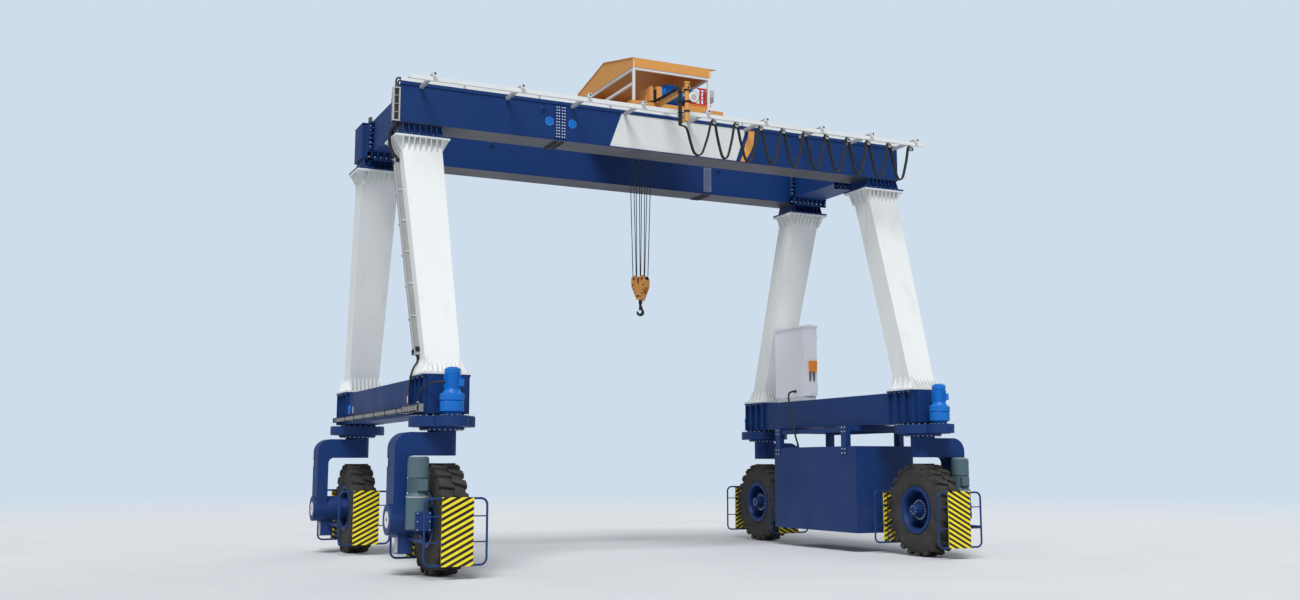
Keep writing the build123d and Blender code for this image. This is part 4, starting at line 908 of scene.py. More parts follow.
@dataclass
class Girders:
    """Bolts, covers and the side stripe of the two girders, and the joints of the cross beams."""

    low_z: float = 8.240
    high_z: float = GIRDER_TOP
    splice_x: float = 2.490
    splice_plate: float = 0.012
    splice_columns: Floats = (-0.084, -0.034, 0.034, 0.084)
    splice_rows: int = 11
    splice_inset: float = 0.075
    splice_bolt: float = 0.025
    under_rows: int = 8
    under_half: float = 0.28
    # Each cover's and eye's place on a girder, and the way its face looks along Y
    covers_at: tuple[tuple[float, float, float, int], ...] = (
        (-2.726, -1.869, 8.610, -1), (-2.233, -1.869, 8.610, -1),
        (2.726, 1.869, 8.610, 1), (2.233, 1.869, 8.610, 1))
    cover_radius: float = 0.094
    cover_depth: float = 0.010
    eyes_at: tuple[tuple[float, float, float, int], ...] = (
        (-2.862, -1.869, 8.834, -1), (-2.881, 1.215, 8.834, -1), (2.787, 1.215, 8.831, -1))
    eye_radius: float = 0.058
    eye_depth: float = 0.020
    eye_bore: float = 0.044
    # Corners of the slanted stripe, along X and Z
    stripe: tuple[Pair, ...] = (
        (1.616, 8.262), (1.721, 8.262), (1.864, 8.480), (1.941, 8.660), (1.976, 8.965),
        (1.835, 8.965), (1.800, 8.800), (1.746, 8.660), (1.690, 8.440))
    stripe_depth: float = 0.003
    joint_x: float = 5.145
    joint_y: float = 0.960
    joint_reach: float = 0.512
    joint_low: float = 8.152
    joint_high: float = 8.940
    joint_seat: float = 0.0015
    joint_face: float = 0.026
    joint_columns: int = 9
    joint_column_half: float = 0.480
    joint_rows: int = 6
    beam_half: float = 0.405
    beam_low: float = 8.310
    tooth: float = 0.130
    tooth_half: float = 0.009
    tooth_columns: int = 8
    tooth_column_half: float = 0.440

    def build(self) -> None:
        """Builds every piece of the girders."""
        self.splice_bolts()
        self.covers()
        self.side_mark()
        self.beam_joints()

    def splice_bolts(self) -> None:
        """Builds the bolt fields on both faces and the underside of each splice."""
        forge = Forge("girder_splice_bolts")
        rows = spread(self.splice_rows, self.low_z + self.splice_inset, self.high_z - self.splice_inset)
        for end in End:
            centre, middle = end.value * self.splice_x, end.value * GIRDER_Y
            for face in (-1, 1):
                y = middle + face * (GIRDER_FACE_Y - GIRDER_Y + self.splice_plate)
                for column in self.splice_columns:
                    for z in rows:
                        forge.bolt((centre + column, y, z), (0, face, 0), self.splice_bolt, BOLT_WHITE)
            # The bolts under the splice are painted dark, while those on its faces are white: painted shade on
            # faces that look down.
            for column in self.splice_columns:
                for place in spread(self.under_rows, -self.under_half, self.under_half):
                    spot = (centre + column, middle + place, self.low_z - self.splice_plate)
                    forge.bolt(spot, (0, 0, -1), FLANGE_BOLT, DARK_TRIM_AND_PAINTED_SHADE)
        forge.ride("gantry")

    def covers(self) -> None:
        """Builds the round hand hole covers and the sockets on the girders' faces."""
        forge = Forge("girder_hand_covers")
        cover = cap(self.cover_radius, 0.006, self.cover_depth, self.cover_radius - 0.004)
        for x, y, z, face in self.covers_at:
            outward = (0, face, 0)
            forge.lathe(cover, (x, y, z), outward, DRIVE_BLUE, 32)
            top = (x, y + face * self.cover_depth, z)
            forge.bolt_ring(top, outward, self.cover_radius - 0.018, 6, 0.014)
        eye = cap(self.eye_radius, 0.014, self.eye_depth, self.eye_radius - 0.008)
        for x, y, z, face in self.eyes_at:
            forge.lathe(eye, (x, y, z), (0, face, 0), NAVY, 32)
            # The dark hexagon on each eye stands for its bore: painted shade.
            forge.bolt((x, y + face * self.eye_depth, z), (0, face, 0), self.eye_bore, DARK_TRIM_AND_PAINTED_SHADE)
        forge.ride("gantry")

    def side_mark(self) -> None:
        """Builds the slanted ochre stripe beside the bare panel."""
        forge = Forge("girder_side_stripe")
        outline = [(x, -GIRDER_FACE_Y, z) for x, z in self.stripe]
        forge.prism(outline, (0, -self.stripe_depth, 0), OCHRE)
        forge.ride("gantry")

    def beam_joints(self) -> None:
        """Builds the plates, stiffening teeth and bolts round the bolted joints of the cross beams."""
        forge = Forge("cross_beam_joints")
        for side in Side:
            for end in End:
                centre = Vector((side.value * self.joint_x, end.value * self.joint_y, 0.0))
                self.joint_plates(forge, centre)
                for face in (-1, 1):
                    self.joint_teeth(forge, centre, face)
                    self.joint_bolts(forge, centre, face)
        forge.ride("gantry")

    def joint_plates(self, forge: Forge, centre: Vector) -> None:
        """Adds the pair of plates that stands out round a joint, below and on both sides.

        Args:
            forge: the mesh that takes them.
            centre: the joint's middle on the ground.
        """
        for x0, x1, low, high in ((-self.joint_reach, self.joint_reach, self.joint_low, self.beam_low),
                                  (-self.joint_reach, -self.beam_half, self.joint_low, self.joint_high),
                                  (self.beam_half, self.joint_reach, self.joint_low, self.joint_high)):
            for face in (-1, 1):
                near, far = sorted((face * self.joint_seat, face * self.joint_face))
                forge.box(centre + Vector((x0, near, low)), centre + Vector((x1, far, high)), NAVY, 0.0)

    def joint_teeth(self, forge: Forge, centre: Vector, face: int) -> None:
        """Adds the triangular teeth between a joint's plate and the beam.

        Args:
            forge: the mesh that takes them.
            centre: the joint's middle on the ground.
            face: which of the plate's two faces they stand on.
        """
        near, far = face * self.joint_face, face * (self.joint_face + self.tooth)
        half = self.tooth_half
        for place in spread(self.tooth_columns, -self.tooth_column_half, self.tooth_column_half):
            outline = [centre + Vector((place - half, y, z)) for y, z in (
                (near, self.beam_low), (far, self.beam_low), (near, self.joint_low + 0.012))]
            forge.prism(outline, (2 * half, 0, 0), NAVY)
        for edge in (-1, 1):
            inner, outer = edge * self.beam_half, edge * (self.joint_reach - 0.006)
            for z in spread(self.joint_rows, self.beam_low + 0.060, self.high_z - 0.072):
                outline = [centre + Vector((x, y, z - half)) for x, y in (
                    (inner, near), (inner, far), (outer, near))]
                forge.prism(outline, (0, 0, 2 * half), NAVY)

    def joint_bolts(self, forge: Forge, centre: Vector, face: int) -> None:
        """Adds the bolts along the foot and up both sides of a joint's plate.

        Args:
            forge: the mesh that takes them.
            centre: the joint's middle on the ground.
            face: which of the plate's two faces they stand on.
        """
        columns = spread(self.joint_columns, -self.joint_column_half, self.joint_column_half)
        rows = spread(self.joint_rows, self.beam_low + 0.115, self.high_z - 0.125)
        spots = [(x, self.joint_low + 0.055) for x in columns]
        spots += [(edge * (self.joint_reach - 0.045), z) for edge in (-1, 1) for z in rows]
        for x, z in spots:
            forge.bolt(centre + Vector((x, face * self.joint_face, z)), (0, face, 0), FLANGE_BOLT)


@dataclass
class Legs:
    """Bolts of the flanged joints at the top and foot of the four legs."""

    top: Triple = (5.287, GIRDER_Y, 8.000)
    foot: Triple = (5.182, 3.007, 3.425)
    top_flange: Pair = (1.046, 0.824)
    foot_flange: Pair = (0.848, 0.902)
    flange: float = 0.035
    inset: float = 0.045
    columns: int = 8
    rows: int = 6

    def build(self) -> None:
        """Builds the bolts of all eight flanged joints."""
        for side, end in CORNERS:
            forge = Forge(f"leg_bolts_{corner_name(side, end)}")
            for centre, plate in ((self.top, self.top_flange), (self.foot, self.foot_flange)):
                self.flange_bolts(forge, mirrored(centre, side.value, end.value), plate)
            forge.ride("gantry")

    def flange_bolts(self, forge: Forge, middle: Vector, plate: Pair) -> None:
        """Adds bolts along the four edges of a pair of plates.

        Args:
            forge: the mesh that takes them.
            middle: the centre of the joint between the plates.
            plate: the plates' width and depth.
        """
        half_x, half_y = (size / 2 - self.inset for size in plate)
        spots = [(x, edge * half_y) for x in spread(self.columns, -half_x, half_x) for edge in (-1, 1)]
        spots += [(edge * half_x, y) for y in spread(self.rows, -half_y, half_y)[1:-1] for edge in (-1, 1)]
        for x, y in spots:
            for up in (-1, 1):
                forge.bolt(middle + Vector((x, y, up * self.flange)), (0, 0, up), FLANGE_BOLT)


@dataclass
class GroundBeams:
    """Round covers and sight slots on the outer faces of the ground beams."""

    outer_x: float = 5.530
    # Place along Y and Z and radius of each cover, and the place of each slot
    covers_at: tuple[Triple, ...] = ((2.460, 3.037, 0.110), (-2.455, 3.030, 0.100))
    cover_depth: float = 0.011
    slots_at: tuple[Pair, ...] = ((2.090, 3.022), (-2.230, 3.035))
    slot_size: Pair = (0.075, 0.160)

    def build(self) -> None:
        """Builds the covers and sight slots on both outer faces."""
        forge = Forge("ground_beam_covers")
        for side in Side:
            x, outward = side.value * self.outer_x, (side.value, 0, 0)
            for y, z, radius in self.covers_at:
                cover = cap(radius, 0.007, self.cover_depth, radius - 0.004)
                forge.lathe(cover, (x, y, z), outward, DRIVE_BLUE, 32)
                top = Vector((x, y, z)) + Vector(outward) * self.cover_depth
                forge.bolt_ring(top, outward, radius - 0.02, 6, 0.016)
            for y, z in self.slots_at:
                sight_slot(forge, (x, y, z), side, self.slot_size)
        forge.ride("gantry")


def sight_slot(forge: Forge, place: Point, side: Side, size: Pair) -> None:
    """Adds a small white plate in a dark frame on a face that looks outwards along X.

    Args:
        forge: the mesh that takes it.
        place: the plate's centre on the face.
        side: the side of the crane that the face looks to.
        size: the frame's width and height.
    """
    x, y, z = place
    width, height = size
    for share_y, share_z, depth, finish in ((0.50, 0.50, 0.008, DARK_TRIM_AND_PAINTED_SHADE), (0.31, 0.43, 0.012, WHITE)):
        near, far = sorted((x, x + side.value * depth))
        half_y, half_z = width * share_y, height * share_z
        forge.box((near, y - half_y, z - half_z), (far, y + half_y, z + half_z), finish, 0.001)


@dataclass
class SteeringDrives:
    """Fins, bolts and caps of the four steering gear motors, and the bolts on their housings."""

    housing_top: float = 2.700
    housing_radius: float = 0.575
    housing_bolts: int = 28
    housing_bolt: float = 0.032
    covered_half: float = 0.30
    motor_y: float = 3.765
    fins: int = 22
    fins_z: float = 0.575
    fin_place: float = 0.137
    fin_half: Triple = (0.009, 0.003, 0.115)
    # Height over the housing, radius, count and head width of each ring of bolts
    rings: tuple[tuple[float, float, int, float], ...] = (
        (0.360, 0.188, 12, 0.026), (0.240, 0.196, 4, 0.020), (0.002, 0.176, 12, 0.028))
    cap_z: float = 0.815
    cap_radius: float = 0.088
    grille_radius: float = 0.084
    grille_z: Pair = (0.819, 0.825)
    bars: int = 7
    bars_half: float = 0.066
    bar_half: float = 0.003

    def build(self) -> None:
        """Builds each corner's trim."""
        for side, end in CORNERS:
            forge = Forge(f"steering_motor_trim_{corner_name(side, end)}")
            self.motor(forge, side, end)
            self.housing(forge, side, end)
            forge.ride("gantry")

    def motor(self, forge: Forge, side: Side, end: End) -> None:
        """Adds the motor's fins, its bolted flanges and its cap with a grille.

        Args:
            forge: the mesh that takes them.
            side, end: the corner that the motor stands at.
        """
        x, y, base = side.value * WHEEL_X, end.value * self.motor_y, self.housing_top
        forge.fins(Vector((x, y, base + self.fins_z)), "Z", (self.fin_place, 0, 0), self.fin_half, self.fins,
                   DRIVE_BLUE)
        for height, radius, count, across in self.rings:
            forge.bolt_ring((x, y, base + height), UP, radius, count, across)
        # A dark lid under the grille's bars: painted shade where the cover's openings are.
        cover = lid(self.cap_radius, 0.006, self.grille_radius)
        forge.lathe(cover, (x, y, base + self.cap_z), UP, DARK_TRIM_AND_PAINTED_SHADE, 32)
        low, high = (base + height for height in self.grille_z)
        for place in spread(self.bars, -self.bars_half, self.bars_half):
            half = math.sqrt(self.grille_radius ** 2 - place ** 2)
            forge.box((x + place - self.bar_half, y - half, low), (x + place + self.bar_half, y + half, high),
                      DRIVE_BLUE, 0.0)

    def housing(self, forge: Forge, side: Side, end: End) -> None:
        """Adds the bolts along the rim of the housing's lid, clear of the beam above it.

        Args:
            forge: the mesh that takes them.
            side, end: the corner that the housing hangs at.
        """
        centre = Vector((side.value * WHEEL_X, end.value * WHEEL_Y, self.housing_top))
        for index in range(self.housing_bolts):
            angle = FULL_TURN * (index + 0.5) / self.housing_bolts
            arm = Vector((math.cos(angle), math.sin(angle), 0.0))
            if abs(arm.x) > self.covered_half or arm.y * end.value < 0:
                forge.bolt(centre + arm * (self.housing_radius - 0.035), UP, self.housing_bolt)


@dataclass
class Bogie:
    """Trim of one steered arm: slew ring bolts, sight slot, bare plate, and the drive's ribs and boxes."""

    side: Side
    end: End
    ring_z: float = 2.475
    ring_radius: float = 0.358
    ring_bolts: int = 24
    outer_x: float = 6.062
    slot_z: float = 1.915
    slot_shift: float = 0.180
    slot_size: Pair = (0.085, 0.175)
    plate_x: float = 5.9305
    plate_depth: float = 0.010
    plate_half: float = 0.085
    plate_z: Pair = (0.400, 0.660)
    plate_bolts: tuple[Pair, ...] = ((-0.07, 0.416), (-0.07, 0.644), (0.07, 0.416), (0.07, 0.644))
    drive_x: float = 5.720
    drive_y: float = 3.700
    ribs: int = 30
    ribs_z: float = 1.530
    rib_place: float = 0.171
    rib_half: Triple = (0.008, 0.003, 0.115)
    flange_z: Pair = (1.330, 1.362)
    flange_radii: Triple = (0.150, 0.181, 0.199)
    cap_z: float = 2.004
    # Places in, forward and up of the terminal box and the gear case, and half their sizes
    terminal_place: Triple = (0.030, 0.160, 1.535)
    terminal_half: Triple = (0.085, 0.045, 0.095)
    case_place: Triple = (0.045, 0.120, 0.940)
    case_half: Triple = (0.130, 0.110, 0.160)
    case_bolts_x: float = 0.105
    case_bolts_z: Floats = (-0.135, 0.0, 0.135)

    @property
    def body(self) -> str:
        """The body that the trim rides on."""
        return f"bogie_{corner_name(self.side, self.end)}"

    def at(self, x: float, y: float, z: float) -> Vector:
        """Gives a point of this corner from the one at the rear right."""
        return mirrored((x, y, z), self.side.value, self.end.value)

    def build(self) -> None:
        """Builds the arm's trim, and the drive's on the driven bogies."""
        outward = (self.side.value, 0, 0)
        forge = Forge(f"arm_trim_{corner_name(self.side, self.end)}")
        ring = self.at(WHEEL_X, WHEEL_Y, self.ring_z)
        forge.bolt_ring(ring, (0, 0, -1), self.ring_radius, self.ring_bolts, FLANGE_BOLT)
        slot = self.at(self.outer_x, WHEEL_Y, self.slot_z)
        sight_slot(forge, (slot.x, slot.y + self.slot_shift, slot.z), self.side, self.slot_size)
        plate = self.at(self.plate_x, WHEEL_Y, 0.0)
        face = plate.x + self.side.value * self.plate_depth
        near, far = sorted((plate.x, face))
        low, high = self.plate_z
        forge.box((near, plate.y - self.plate_half, low), (far, plate.y + self.plate_half, high), PALE_GREY)
        for y, z in self.plate_bolts:
            forge.bolt((face, plate.y + y, z), outward, 0.016)
        forge.ride(self.body)
        if self.end is End.FRONT:
            self.drive()

    def drive(self) -> None:
        """Builds the drive motor's ribs, flange bolts, terminal box and blue gear case."""
        forge = Forge(f"drive_motor_trim_{corner_name(self.side, self.end)}")
        axis = self.at(self.drive_x, self.drive_y, 0.0)
        forward = Vector((0, self.end.value, 0))
        inner, middle, outer = self.flange_radii
        low, high = self.flange_z
        forge.fins(axis + Vector((0, 0, self.ribs_z)), "Z", (self.rib_place, 0, 0), self.rib_half,
                   self.ribs, MOTOR_GREY)
        forge.bolt_ring(axis + Vector((0, 0, high)), UP, middle, 12, 0.022)
        forge.lathe(collar(inner, outer, 0.016), axis + Vector((0, 0, low)), UP, PALE_GREY, 40, ring=True)
        forge.lathe(((0.0, 0.0), (0.0, inner), (0.010, inner - 0.004), (0.012, 0.0)),
                    axis + Vector((0, 0, self.cap_z)), UP, PALE_GREY, 40)
        inward, ahead, up = self.terminal_place
        terminal = axis + forward * ahead + Vector((-inward * self.side.value, 0, up))
        forge.block(terminal, self.terminal_half, MOTOR_GREY, 0.006)
        inward, ahead, up = self.case_place
        case = axis + forward * ahead + Vector((-inward * self.side.value, 0, up))
        forge.block(case, self.case_half, NAVY, 0.008)
        face = case + forward * self.case_half[1]
        for x in (-self.case_bolts_x, self.case_bolts_x):
            for z in self.case_bolts_z:
                forge.bolt(face + Vector((x, 0, z)), forward, 0.024)
        forge.ride(self.body)


@dataclass
class Wheel:
    """One wheel's tyre, and the lock ring, hub and bolts of its rim."""

    side: Side
    end: End
    steps: int = 88
    tread: float = 0.8985
    # Half of the casing's section from the bead to the shoulder: place along the axle and radius
    wall: tuple[Pair, ...] = (
        (0.180, 0.415), (0.225, 0.436), (0.228, 0.498), (0.236, 0.520), (0.243, 0.540), (0.240, 0.552),
        (0.248, 0.590), (0.2495, 0.660), (0.249, 0.720), (0.244, 0.765), (0.248, 0.775), (0.244, 0.790),
        (0.232, 0.845), (0.212, 0.878))
    shoulder: float = 0.160
    lugs: int = 22
    # A lug's sections outwards: place along the axle, place round the tyre and half its width
    stations: tuple[Triple, ...] = (
        (-0.012, 0.040, 0.050), (0.075, 0.020, 0.062), (0.150, -0.006, 0.074), (0.205, -0.028, 0.078),
        (0.246, -0.040, 0.070))
    lug_reach: float = 0.096
    lug_root: float = 0.040
    lug_middle: float = 0.115
    lug_taper: float = 0.20
    lug_draft: float = 0.06
    lug_edge: float = 0.006
    lock_ring: tuple[Pair, ...] = (
        (0.232, 0.462), (0.246, 0.466), (0.250, 0.478), (0.246, 0.491), (0.232, 0.492))
    hub: tuple[Pair, ...] = (
        (0.015, 0.0), (0.015, 0.222), (0.122, 0.222), (0.130, 0.216), (0.130, 0.136), (0.270, 0.124),
        (0.290, 0.118), (0.298, 0.108), (0.298, 0.0))
    valve_z: float = 0.340

    @property
    def centre(self) -> Vector:
        """The wheel's centre."""
        return mirrored((WHEEL_X, WHEEL_Y, WHEEL_Z), self.side.value, self.end.value)

    def build(self) -> None:
        """Builds the tyre and the rim's small pieces."""
        name = corner_name(self.side, self.end)
        body = f"wheel_{name}"
        tyre = Forge(f"tyre_carcass_{name}")
        self.carcass(tyre)
        for row in (-1, 1):
            for index in range(self.lugs):
                self.lug(tyre, row, index)
        tyre.ride(body, [f"tyre_{name}"])
        trim = Forge(f"rim_trim_{name}")
        self.rim_trim(trim)
        trim.ride(body)

    def carcass(self, forge: Forge) -> None:
        """Adds the casing with its bead, ribbed sidewalls and shoulders.

        Args:
            forge: the tyre's mesh.
        """
        half = [*self.wall, (self.shoulder, self.tread - 0.004)]
        profile = [*half, *((-along, radius) for along, radius in reversed(half))]
        forge.lathe(profile, self.centre, (self.side.value, 0, 0), TYRE, self.steps, ring=True)

    def lug(self, forge: Forge, row: int, index: int) -> None:
        """Adds one bent, tapered lug of a row.

        Args:
            forge: the tyre's mesh.
            row: which shoulder it stands on.
            index: its number round the row.
        """
        stance = math.asin(self.lug_reach / TYRE_RADIUS)
        turn = math.radians(-90 + (index + row / 4) * 360 / self.lugs) - row * stance
        out = Vector((0, math.cos(turn), math.sin(turn)))
        across = Vector((row, 0, 0))
        round_way = out.cross(across)
        foot = self.tread - self.lug_root
        top = math.sqrt(TYRE_RADIUS ** 2 - self.lug_reach ** 2)
        rising = [(width, offset + half) for width, offset, half in self.stations]
        falling = [(width, offset - half) for width, offset, half in self.stations]
        middle = sum(offset for _, offset, _ in self.stations) / len(self.stations)
        verts, moved = forge.raise_face([self.centre + across * width + round_way * along + out * foot
                                         for width, along in (*rising, *reversed(falling))])
        anchor = self.centre + across * self.lug_middle + round_way * middle + out * foot
        for vert in moved:
            shift = vert.co - anchor
            sideways, outward = shift.dot(round_way), shift.dot(across)
            vert.co -= round_way * sideways * self.lug_taper
            vert.co -= across * max(outward, 0.0) * self.lug_draft
            vert.co += out * (top - foot)
        forge.settle([*verts, *moved], TYRE, self.lug_edge)

    def rim_trim(self, forge: Forge) -> None:
        """Adds the lock ring, the hub with its rings of bolts and the valve.

        Args:
            forge: the mesh that takes them.
        """
        inward = Vector((-self.side.value, 0, 0))
        forge.lathe(self.lock_ring, self.centre, inward, RIM_BLUE, 64, ring=True)
        forge.bolt_ring(self.centre + inward * 0.020, inward, 0.172, 20, 0.026, PASSIVATED)
        forge.bolt_ring(self.centre - inward * 0.090, -inward, 0.245, 20, 0.030, PASSIVATED)
        forge.lathe(self.hub, self.centre, inward, RIM_BLUE, 48)
        forge.bolt_ring(self.centre + inward * 0.130, inward, 0.192, 22, 0.026)
        forge.bolt_ring(self.centre + inward * 0.298, inward, 0.082, 8, 0.020)
        valve = self.centre + Vector((0, 0, self.valve_z))
        forge.rod(valve - inward * 0.07, valve + inward * 0.02, 0.007, ZINC, sides=10)


@dataclass
class Guards:
    """The warning bands of one wheel's guard boards, and the boards' folded edges and bolts."""

    side: Side
    end: End
    guard_y: float = 1.055
    tube: float = 0.019
    board_shift: float = 0.015
    board_half: float = 0.2725
    board_plate: float = 0.008
    board_z: Pair = (0.217, 1.338)
    fold: float = 0.010
    fold_depth: float = 0.012
    bolts_x: float = 0.182
    bolts_z: Floats = (0.300, 0.610, 1.030, 1.270)

    def build(self) -> None:
        """Paints the boards and builds the trim of both guards."""
        name = corner_name(self.side, self.end)
        forge = Forge(f"guard_trim_{name}")
        x = self.side.value * (WHEEL_X + self.board_shift)
        bands = WarningBands(f"warning_bands_{name}", self.side.value, self.end.value * WHEEL_Y)
        Nodes.coat(f"guard_boards_{name}", bands)
        bottom, top = self.board_z
        for face in (-1, 1):
            inner = self.end.value * WHEEL_Y + face * (self.guard_y + self.tube)
            outer = inner + face * self.board_plate
            for edge in (-1, 1):
                low, high = sorted((x + edge * self.board_half, x + edge * (self.board_half - self.fold)))
                near, far = sorted((inner - face * self.fold_depth, outer - face * 0.001))
                forge.box((low, near, bottom), (high, far, top), YELLOW, 0.001)
            for place in (-self.bolts_x, self.bolts_x):
                for z in self.bolts_z:
                    forge.bolt((x + place, inner, z), (0, -face, 0), 0.024)
        forge.ride(f"bogie_{name}")


@dataclass
class PowerPack:
    """Doors, louvres and latches on the outer side of the power pack, and the bolts of its hangers."""

    doors: int = 4
    margin: float = 0.060
    gap: float = 0.020
    door_inset: float = 0.10
    louvres: int = 9
    louvre_top: float = 0.32
    louvre_pitch: float = 0.055
    louvre_inset: float = 0.14
    latch_z: Pair = (1.25, 1.40)
    hinge_inset: float = 0.30
    hanger_y: float = 1.370
    hanger_plate: float = 0.012
    hanger_bolts_y: float = 0.055
    hanger_bolts_z: Floats = (2.130, 2.220, 2.600, 2.690)
    low: Vector = field(init=False)
    high: Vector = field(init=False)

    def __post_init__(self) -> None:
        """Takes the housing's corners from its solid."""
        self.low, self.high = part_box("power_pack")

    def build(self) -> None:
        """Builds the doors on the outer side and the hangers' bolts."""
        self.outer_doors()
        self.hanger_bolts()

    def outer_doors(self) -> None:
        """Builds a row of doors with louvres, hinges and latches."""
        forge = Forge("power_pack_doors")
        x = self.high.x
        low, high = self.low.z, self.high.z
        span = (self.high.y - self.low.y - 2 * self.margin) / self.doors
        for index in range(self.doors):
            near = self.low.y + self.margin + index * span + self.gap / 2
            far = near + span - self.gap
            forge.box((x, near, low + self.door_inset), (x + 0.014, far, high - self.door_inset), NAVY, 0.004)
            for row in range(self.louvres):
                z = high - self.louvre_top - row * self.louvre_pitch
                left, right = near + self.louvre_inset, far - self.louvre_inset
                forge.box((x + 0.012, left, z), (x + 0.026, right, z + 0.030), NAVY, 0.004)
            forge.box((x + 0.012, far - 0.075, self.latch_z[0]), (x + 0.040, far - 0.045, self.latch_z[1]),
                      DARK_TRIM_AND_PAINTED_SHADE, 0.004)
            for z in (low + self.hinge_inset, high - self.hinge_inset):
                spot, half = Vector((x + 0.016, near + 0.012, z)), Vector((0, 0, 0.05))
                forge.rod(spot - half, spot + half, 0.012, NAVY)
        forge.ride("gantry")

    def hanger_bolts(self) -> None:
        """Builds the bolts at both ends of each hanger plate."""
        forge = Forge("pack_hanger_bolts")
        for x, outward in ((self.low.x - self.hanger_plate, -1), (self.high.x + self.hanger_plate, 1)):
            for end in (-1, 1):
                for y in (-self.hanger_bolts_y, self.hanger_bolts_y):
                    for z in self.hanger_bolts_z:
                        forge.bolt((x, end * self.hanger_y + y, z), (outward, 0, 0), FLANGE_BOLT)
        forge.ride("gantry")


@dataclass
class Cabinet:
    """Doors, hinges and handles of the control cabinet, and the sounder of its alarm box."""

    face_x: float = 5.200
    front_y: float = 0.760
    rear_y: float = 2.050
    seams_z: Pair = (3.560, 5.090)
    seam_half: float = 0.004
    seam_depth: float = 0.003
    handle_y: float = 0.070
    handle_z: Pair = (4.230, 4.390)
    hinges_z: Floats = (3.75, 4.30, 4.90)
    hinge_half: float = 0.04
    sounder_z: float = 4.215
    sounder: tuple[Pair, ...] = (
        (0.0, 0.0), (0.0, 0.050), (0.008, 0.050), (0.012, 0.040), (0.006, 0.034), (0.006, 0.0))

    def build(self) -> None:
        """Builds the doors' fittings and the alarm's."""
        self.doors()
        self.alarm()

    def doors(self) -> None:
        """Builds the seams, handles and hinges of the two doors on the outer side."""
        forge = Forge("cabinet_fittings")
        x, near, far = self.face_x, self.front_y, self.rear_y
        middle = (near + far) / 2
        low, high = self.seams_z
        seam, front = self.seam_half, x + self.seam_depth
        for y in (near + 0.020, middle, far - 0.020):
            forge.box((x, y - seam, low), (front, y + seam, high), DARK_TRIM_AND_PAINTED_SHADE, 0.0)
        for z in self.seams_z:
            forge.box((x, near + 0.016, z - seam), (front, far - 0.016, z + seam), DARK_TRIM_AND_PAINTED_SHADE, 0.0)
        low, high = self.handle_z
        for y in (middle - self.handle_y, middle + self.handle_y):
            forge.box((x, y - 0.012, low), (x + 0.030, y + 0.012, high), DARK_TRIM_AND_PAINTED_SHADE, 0.004)
        for y in (near + 0.012, far - 0.012):
            for z in self.hinges_z:
                spot, half = Vector((x + 0.008, y, z)), Vector((0, 0, self.hinge_half))
                forge.rod(spot - half, spot + half, 0.009, PALE_GREY, sides=12)
        forge.ride("gantry")

    def alarm(self) -> None:
        """Builds the sounder on the front of the alarm box, with its screws."""
        forge = Forge("alarm_box_face")
        low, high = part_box("alarm_box")
        centre = Vector(((low.x + high.x) / 2, low.y, self.sounder_z))
        forge.lathe(self.sounder, centre, (0, -1, 0), ORANGE, 32)
        forge.bolt_ring(centre, (0, -1, 0), 0.066, 4, 0.012)
        forge.ride("gantry")


